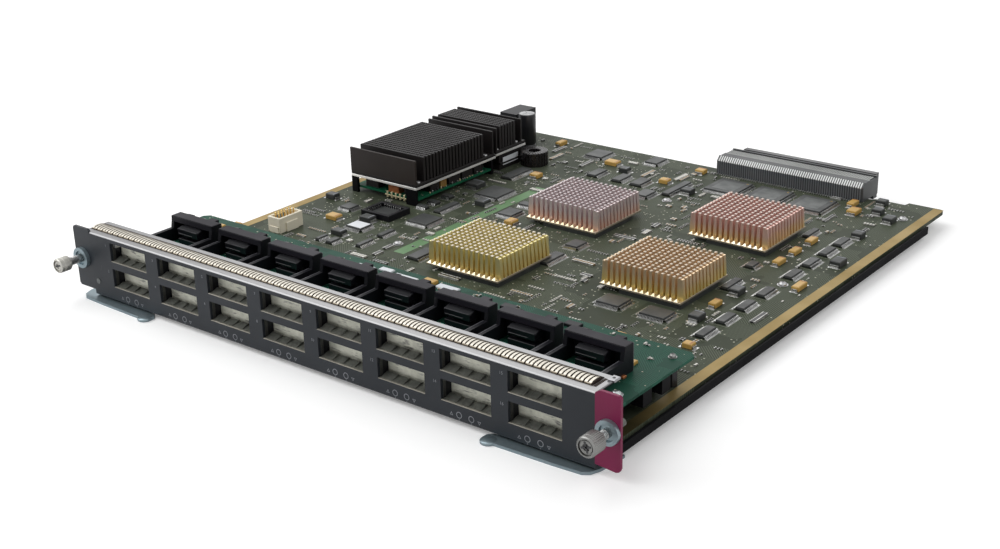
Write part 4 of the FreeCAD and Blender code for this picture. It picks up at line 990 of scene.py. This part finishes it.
def make_block_parts():
    """Moulded capacitors with folded end tabs, and the dark diodes."""
    shape = Shape()
    for node, finish, stripe in (("tantalum_capacitors", "tantalum_yellow", "tantalum_band"),
                                 ("power_diodes", "chip_black", "print_grey")):
        for (a, b, c), (d, e, f) in solids_of(node):
            lies_across = d - a > e - b
            if not lies_across:
                a, b, d, e = b, a, e, d
            for start, stop, inset, low, high, tone, cut in (
                    (a + 1.2, d - 1.2, 0.7, c + 0.2, f, finish, 0.45),
                    (d - 2.8, d - 1.9, 1.1, f, f + 0.04, stripe, 0),
                    (a + 0.3, a + 1.5, 1.3, c, c + 1.6, "tinned", 0.05),
                    (d - 1.5, d - 0.3, 1.3, c, c + 1.6, "tinned", 0.05),
                    (a - 0.9, a + 0.6, 0.5, c, c + 0.12, "tinned", 0.05),
                    (d - 0.6, d + 0.9, 0.5, c, c + 0.12, "tinned", 0.05)):
                near, far = (start, b + inset), (stop, e - inset)
                if not lies_across:
                    near, far = near[::-1], far[::-1]
                shape.slab((*near, low), (*far, high), tone, cut)
    shape.piece("moulded_parts", stands_for=("tantalum_capacitors", "power_diodes"))


def taken_places():
    """Footprints on the main board that the small parts keep clear of."""
    nodes = ("logic_chips", "tantalum_capacitors", "power_diodes", "board_screws", "cooled_packages",
             "module_legs", "header_housing", "chip_socket", "toroid_inductor", "electrolytic_capacitor",
             "filter_block", "backplane_connector", "power_module_1", "power_module_2")
    gap = 2.2
    return [(low[0] - gap, low[1] - gap, high[0] + gap, high[1] + gap)
            for node in nodes for low, high in solids_of(node)]


def make_small_parts():
    """Chip resistors and capacitors, in short rows beside the larger parts."""
    pick = random.Random(41)
    taken = taken_places()
    kinds = {"tan": [], "dark": [], "white": []}
    ends = []
    step, clear = 1.9, 1.6
    for attempt in range(SMALL_TRIES):
        if len(ends) >= SMALL_PARTS:
            break
        across, back = pick.uniform(24, 356), pick.uniform(94, 372)
        along = pick.random() < 0.5
        row = pick.choice((1, 2, 3, 4, 6, 8))
        size = pick.choice((0.6, 0.75, 0.75, 1.0, 1.3))
        kind = pick.choice(("tan", "dark", "dark", "white"))
        spots = [(across + (i * step if along else 0), back + (0 if along else i * step)) for i in range(row)]
        if spots[-1][0] > 357 or any(a < x < c and b < y < d for x, y in spots for a, b, c, d in taken):
            continue
        taken += [(x - clear, y - clear, x + clear, y + clear) for x, y in spots]
        rest = (BOARD_TOP, math.pi / 2 if along else 0.0, (size, size, size))
        kinds[kind] += [(x, y, *rest) for x, y in spots]
        ends += [(x, y, *rest) for x, y in spots]
    for i in range(DECK_SMALL_PARTS):
        across, back = pick.uniform(170, 352), pick.uniform(60, 84)
        spot = (across, back, DECK_TOP, pick.choice((0.0, math.pi / 2)), (0.9, 0.9, 0.9))
        kinds[pick.choice(("tan", "dark", "white"))].append(spot)
        ends.append(spot)
    body = Shape(((-0.75, -0.62, 0.05), (0.75, 0.62, 0.75), "small_dark", 0.1))
    cap = Shape()
    for side in (-1, 1):
        cap.slab((side * 0.95 - 0.28, -0.66, 0), (side * 0.95 + 0.28, 0.66, 0.82), "solder", 0.12)
        cap.slab((side * 1.2 - 0.35, -0.7, 0), (side * 1.2 + 0.35, 0.7, 0.1), "solder")
    for kind, spots in kinds.items():
        scatter("small_parts_" + kind, body, "small_" + kind, spots)
    scatter("small_part_ends", cap, "solder", ends)


def make_fixings():
    """Pan-head screws on washers, with a cross recess drawn as painted shade, and the six-sided posts between
    the boards.
    """
    shape = Shape()
    for (a, b, c), (d, e, f) in solids_of("board_screws"):
        across, back = (a + d) / 2, (b + e) / 2
        on_board, at_panel = c < DECK_TOP - 1, b < 60
        size, finish = (1.0, "bare_steel") if on_board else (1.1, "zinc_bright") if at_panel else (
            0.7, "knurled_steel")
        shape.turn([(AXIS, 0), (3.2 * size, 0), (3.2 * size, 0.25), (2.5 * size, 0.3), (2.45 * size, 0.8),
                    (2.05 * size, 1.4), (1.2 * size, 1.8), (AXIS, 1.9)], (across, back, c), finish)
        # The cross recess is two dark inlays: painted shade.
        for wide, deep in ((0.9, 0.22), (0.22, 0.9)):
            shape.slab((across - wide, back - deep, c + 1.75), (across + wide, back + deep, c + 1.92),
                       "slot_dark")
    shape.piece("fixing_screws", stands_for=("board_screws",), smooth=40)
    posts = Shape()
    for (a, b, c), (d, e, f) in solids_of("deck_posts"):
        middle = ((a + d) / 2, (b + e) / 2, 0)
        posts.turn([(AXIS, c), (2.9, c), (2.9, f), (AXIS, f)], middle, "sleeve_black", 6)
    posts.piece("board_posts", stands_for=("deck_posts",), bevel=0.2)


def make_capacitor():
    """A sleeved can with a beaded foot and a scored vent on its top, its scores drawn as painted shade."""
    (a, b, c), (d, e, f) = card_box("electrolytic_capacitor")
    middle = ((a + d) / 2, (b + e) / 2, 0)
    radius = (d - a) / 2
    can = Shape()
    can.turn([(AXIS, c), (radius, c), (radius, c + 2.2), (radius - 0.5, c + 2.9), (radius, c + 3.6),
              (radius, f - 1.0), (radius - 0.25, f - 0.3), (radius - 0.8, f - 0.1), (radius - 1.0, f - 0.35)],
             middle, "sleeve_black", 40)
    can.turn([(AXIS, f - 0.5), (radius - 0.9, f - 0.5), (radius - 0.9, f - 0.15), (AXIS, f - 0.12)], middle,
             "can_top", 40)
    # The vent's scores are dark bars: painted shade.
    start = Vector((*middle[:2], f - 0.14))
    for third in range(3):
        turned = 0.4 + third * 2 * math.pi / 3
        way = Vector((math.cos(turned), math.sin(turned), 0))
        can.loft(bar(start, start + way * (radius - 2), Vector((-way.y, way.x, 0)) * 0.14, (0, 0, 0.08)),
                 "slot_dark")
    can.piece("capacitor_can", stands_for=("electrolytic_capacitor",), smooth=40)


def make_coil():
    """A ring core with closed turns of wire about it."""
    (a, b, c), (d, e, f) = card_box("toroid_inductor")
    across, back = (a + d) / 2, (b + e) / 2
    outer, inner, tall, turns, thick = (d - a) / 2, 4.2, 10.0, 26, 0.45
    ring = Shape()
    ring.turn([(inner + 0.5, c + 0.6), (outer - 0.7, c + 0.6), (outer - 0.7, f - 0.6), (inner + 0.5, f - 0.6),
               (inner + 0.5, c + 0.6)], (across, back, 0), "coil_dark", 32)
    ring.piece("coil_core", stands_for=("toroid_inductor",))
    rings = []
    for x, z in ((inner, 0.4), (inner, 9.6), (inner + 0.5, tall), (outer - 0.5, tall), (outer, 9.6),
                 (outer, 0.4), (outer - 0.5, 0.0), (inner + 0.5, 0.0), (inner, 0.4)):
        wide = 0.42 if x < outer / 2 else 0.85
        out = 1 if x >= outer - 0.5 else -1
        mx, mz = (x - out * thick, z) if 0.3 < z < 9.7 else (x, z - thick if z > 5 else z + thick)
        rings.append([(x, -wide, z), (x, wide, z), (mx, wide, mz), (mx, -wide, mz)])
    wire = Shape()
    wire.loft(rings, "winding_dark", open_ends=True)
    scatter("coil_turns", wire, "winding_dark",
            [(across, back, c, 2 * math.pi * i / turns) for i in range(turns)])


def make_rear_connector():
    """Light ribs and a comb of contacts along the housing that meets the backplane."""
    (a, b, c), (d, e, f) = card_box("backplane_connector")
    step = BOARD_TOP - c + 0.02
    d -= 1.6
    housing = Shape()
    housing.prism([(b + 0.4, c + step), (BOARD_REAR, c + step), (BOARD_REAR, c), (e, c), (e, f), (e - 1.2, f),
                   (e - 1.4, f - 0.8), (b + 9.0, f - 0.8), (b + 8.8, f), (b + 3.2, f), (b + 0.4, f - 2.8)],
                  a + 0.9, d, "connector_grey")
    housing.prism([(b, c + step), (b + 1.0, c + step), (b + 1.0, f - 3.2), (b + 3.6, f - 0.6),
                   (b + 3.6, f - 0.1), (b + 3.0, f - 0.1), (b, f - 3.1)], a, a + 1.2, "connector_grey")
    housing.piece("connector_housing", stands_for=("backplane_connector",), bevel=0.1)

    def repeated(name, part, corner):
        finish, pitch = part.finishes[0], (d - a - 2.0) / CONTACT_COLUMNS
        lattice("connector_" + name, part, finish, corner, CONTACT_COLUMNS, pitch)
    origin = (0, 0, 0)
    rib = Shape((origin, (0.62, 0.5, f - 3.4 - BOARD_TOP), "connector_rib"))
    repeated("ribs", rib, (a + 1.3, b, BOARD_TOP + 0.05))
    shroud = Shape()
    shroud.prism([(e, c), (401.4, c), (401.4, 16.5), (396.8, 16.5), (396.8, c + 2), (e, c + 2)],
                 a + 7.0, 315.3, "sleeve_black")
    shroud.piece("connector_shroud", stands_for=("backplane_shroud",), bevel=0.15)
    tooth = Shape()
    tooth.prism([(0.0, -0.5), (0.9, 0.3), (3.4, 2.5), (3.4, 2.9), (2.9, 2.75), (0.0, 0.0)], 0.0, 0.9,
                "connector_light")
    repeated("crossbars", Shape((origin, (1.1, 14.5, 0.3), "connector_bar")), (a + 1.3, b + 3.6, f - 0.5))
    repeated("comb", tooth, (a + 1.2, b + 0.1, f - 2.9))
    rails = Shape(((a + 1.0, b + 8.8, f - 0.1), (d, b + 9.6, f + 0.15), "connector_bar", 0.1),
                  ((a + 1.0, e - 2.6, f - 0.4), (d, e - 1.2, f + 0.35), "connector_grey", 0.1))
    rails.piece("connector_rails")
    repeated("tails", Shape((origin, (0.5, 2.2, 0.9), "tinned", 0.2)), (a + 1.3, b - 2.1, BOARD_TOP))


def make_header():
    """The ivory header with its latches and pins."""
    softened("header_housing", 0.25, "ivory")
    (a, b, c), (d, e, f) = card_box("header_housing")
    latches = Shape(((d - 0.1, b + 5.0, c + 0.2), (d + 1.0, b + 15.0, c + 6.2), "ivory", 0.3),
                    ((a - 0.2, b + 0.4, c + 0.2), (a + 0.2, b + 3.6, f - 1.0), "ivory", 0.2),
                    ((a + 1.5, b - 0.5, c + 0.1), (d - 1.5, b + 0.1, c + 4.0), "ivory", 0.2))
    latches.piece("header_latches")
    pins = Shape(*((low, high, "contact_gold", 0.15) for low, high in solids_of("header_pins")))
    pins.piece("header_contacts", stands_for=("header_pins",))


def make_chip_socket():
    """A square socket with thin walls round a sunken floor."""
    a, b, c, d, e, f = 65, 171.2, BOARD_TOP, 88.8, 191.6, 8.3
    left, front, right, rear = a + 2.6, b + 2.2, d - 2.2, e - 2.6
    walls = Shape(((a, b, c), (d, front, f), "socket_black", 0.2),
                  ((a, rear, c), (d, e, f), "socket_black", 0.2),
                  ((a, front, c), (left, rear, f), "socket_black", 0.2),
                  ((right, front, c), (d, rear, f), "socket_black", 0.2),
                  ((left, front, c), (right, rear, c + 1.6), "chip_black"))
    walls.piece("chip_socket_frame", stands_for=("chip_socket",))
    contact = Shape(((-0.25, 0, 0), (0.25, 0.5, 2.6), "tinned", 0.1))
    level, pitch = c + 0.9, 1.9
    spots = []
    for i in range(8):
        along = a + 4.8 + i * pitch
        spots += [(along, front, level), (along, rear, level, math.pi)]
        if i < 7:
            along = b + 4.2 + i * pitch
            spots += [(left, along, level, -math.pi / 2), (right, along, level, math.pi / 2)]
    scatter("socket_contacts", contact, "tinned", spots)


def make_deck_parts():
    """Small parts behind the guides on the upper board, and dark blocks under it in a painted shadow colour.
    """
    shape = Shape()
    for across, back, wide, deep, tall, finish in (
            (33, 73, 9, 5, 2.2, "tantalum_yellow"), (150, 76, 12, 4, 1.4, "label_white"),
            (164, 80, 9, 4, 1.0, "label_white"), (176, 77, 16, 5, 0.8, "label_white"),
            (196, 80, 8, 4.5, 2.0, "tantalum_yellow"), (206, 79, 14, 5, 0.9, "label_white"),
            (338, 57.5, 9, 5.5, 1.6, "tantalum_yellow"), (112, 75, 7, 4, 1.6, "guide_black"),
            (60, 74, 8, 4, 1.6, "guide_black"), (252, 77, 9, 5, 1.6, "guide_black"),
            (292, 78, 9, 5, 1.6, "guide_black"), (346, 44, 5, 3, 1.2, "winding_copper")):
        shape.slab((across, back, DECK_TOP), (across + wide, back + deep, DECK_TOP + tall), finish, 0.3)
    # Two parts under the deck, darkened to the deck's shadow: partly painted shade.
    for back in (43.5, 60.0):
        shape.slab((355.5, back, 8.0), (362.5, back + 7.5, 17.65), "socket_shadow", 0.4)
    # A block where there is only the deck's shadow: painted shadow.
    shape.slab((344.0, 22.0, BOARD_TOP), (352.0, 72.0, 17.6), "socket_shadow")
    shape.piece("deck_parts")


def make_board_edges():
    """Gold rails that run the length of the main board's sides, and the pale track field."""
    rails = Shape()
    for left in (360.0, 12.45):
        rails.slab((left, 18.0, BOARD_TOP), (left + 6.55, 387.6, BOARD_TOP + 0.06), "edge_gold")
    rails.slab((125.0, 135.0, BOARD_TOP), (133.0, 280.0, BOARD_TOP + 0.03), "stripe_green")
    rails.piece("edge_rails")


# ---------------------------------------------------------------- camera, light and floor

CAMERA_PLACE = Vector((0.50487, -0.66941, 0.33346))
CAMERA_TURN = (67.938, 1.179, 37.593)
CAMERA_LENS = 53.364
CAMERA_SHIFT = (-0.01069, -0.00384)
# Place, aim, size in metres and watts.
LAMPS = {
    "key": ((-1.0, -0.5, 1.5), (0, 0, 0), 1.8, 21),
    "fill": ((1.2, 0.1, 1.2), (0, 0, 0), 1.4, 5),
    "side": ((-0.75, -0.75, 0.4), (-0.15, -0.19, 0.02), 0.6, 1.2),
    "back": ((-0.9, 1.3, 1.2), (0, 0, 0), 1.4, 7),
}


def set_camera():
    data = bpy.data.cameras.new("camera")
    data.sensor_width = 36
    data.lens = CAMERA_LENS
    data.shift_x, data.shift_y = CAMERA_SHIFT
    data.clip_start, data.clip_end = 0.01, 20
    camera = linked("camera", data)
    camera.location = CAMERA_PLACE
    camera.rotation_euler = Euler([math.radians(turn) for turn in CAMERA_TURN])
    bpy.context.scene.camera = camera


def set_lamps():
    for name, (place, aim, size, watts) in LAMPS.items():
        data = bpy.data.lights.new(name, "AREA")
        data.shape = "SQUARE"
        data.size = size
        data.energy = watts
        lamp = linked(name, data)
        lamp.location = place
        lamp.rotation_euler = (Vector(aim) - Vector(place)).to_track_quat("-Z", "Y").to_euler()


def set_world():
    """White for the camera, and in what mirrors or glass show; dimmer as a light."""
    world = bpy.data.worlds.new("studio")
    bpy.context.scene.world = world
    world.use_nodes = True
    w = Wires(world.node_tree)
    background = world.node_tree.nodes["Background"].inputs
    background["Color"].default_value = (1, 1, 1, 1)
    path = w.add("ShaderNodeLightPath").outputs
    mirrored = w.math("MAXIMUM", path["Is Glossy Ray"], path["Is Transmission Ray"])
    seen = w.math("MAXIMUM", path["Is Camera Ray"], mirrored)
    w.feed(background["Strength"], w.blend(seen, 0.45, 1.0))


def set_floor():
    reach, level = 3.0, CAD_BOX[0].z
    mesh = bpy.data.meshes.new("floor")
    mesh.from_pydata(plate(-reach, -reach, reach, reach, level), [], [(0, 1, 2, 3)])
    floor = linked("floor", mesh)
    material, w, bsdf = new_finish("floor")
    grain = w.use(GRAIN, Broad=6.0, Fine=300.0)
    w.feed(bsdf["Base Color"], w.mix(grain[0], (0.9, 0.9, 0.9), (0.88, 0.88, 0.88)))
    bsdf["Roughness"].default_value = 0.9
    bsdf["Emission Color"].default_value = (1, 1, 1, 1)
    camera_ray = w.add("ShaderNodeLightPath").outputs["Is Camera Ray"]
    w.feed(bsdf["Emission Strength"], w.math("MULTIPLY", camera_ray, 0.2))
    mesh.materials.append(material)


def main():
    set_camera()
    set_world()
    set_floor()
    set_lamps()
    bpy.context.scene.view_settings.view_transform = "Standard"
    dress_carried_nodes()
    for make in (make_gasket, make_panel_trim, make_panel_print, make_screws, make_lever_tips, make_guides,
                 make_doors, make_heatsinks, make_covers, make_module_boards, make_chips, make_block_parts,
                 make_small_parts, make_fixings, make_capacitor, make_coil, make_rear_connector, make_header,
                 make_chip_socket, make_deck_parts, make_board_edges):
        make()


main()
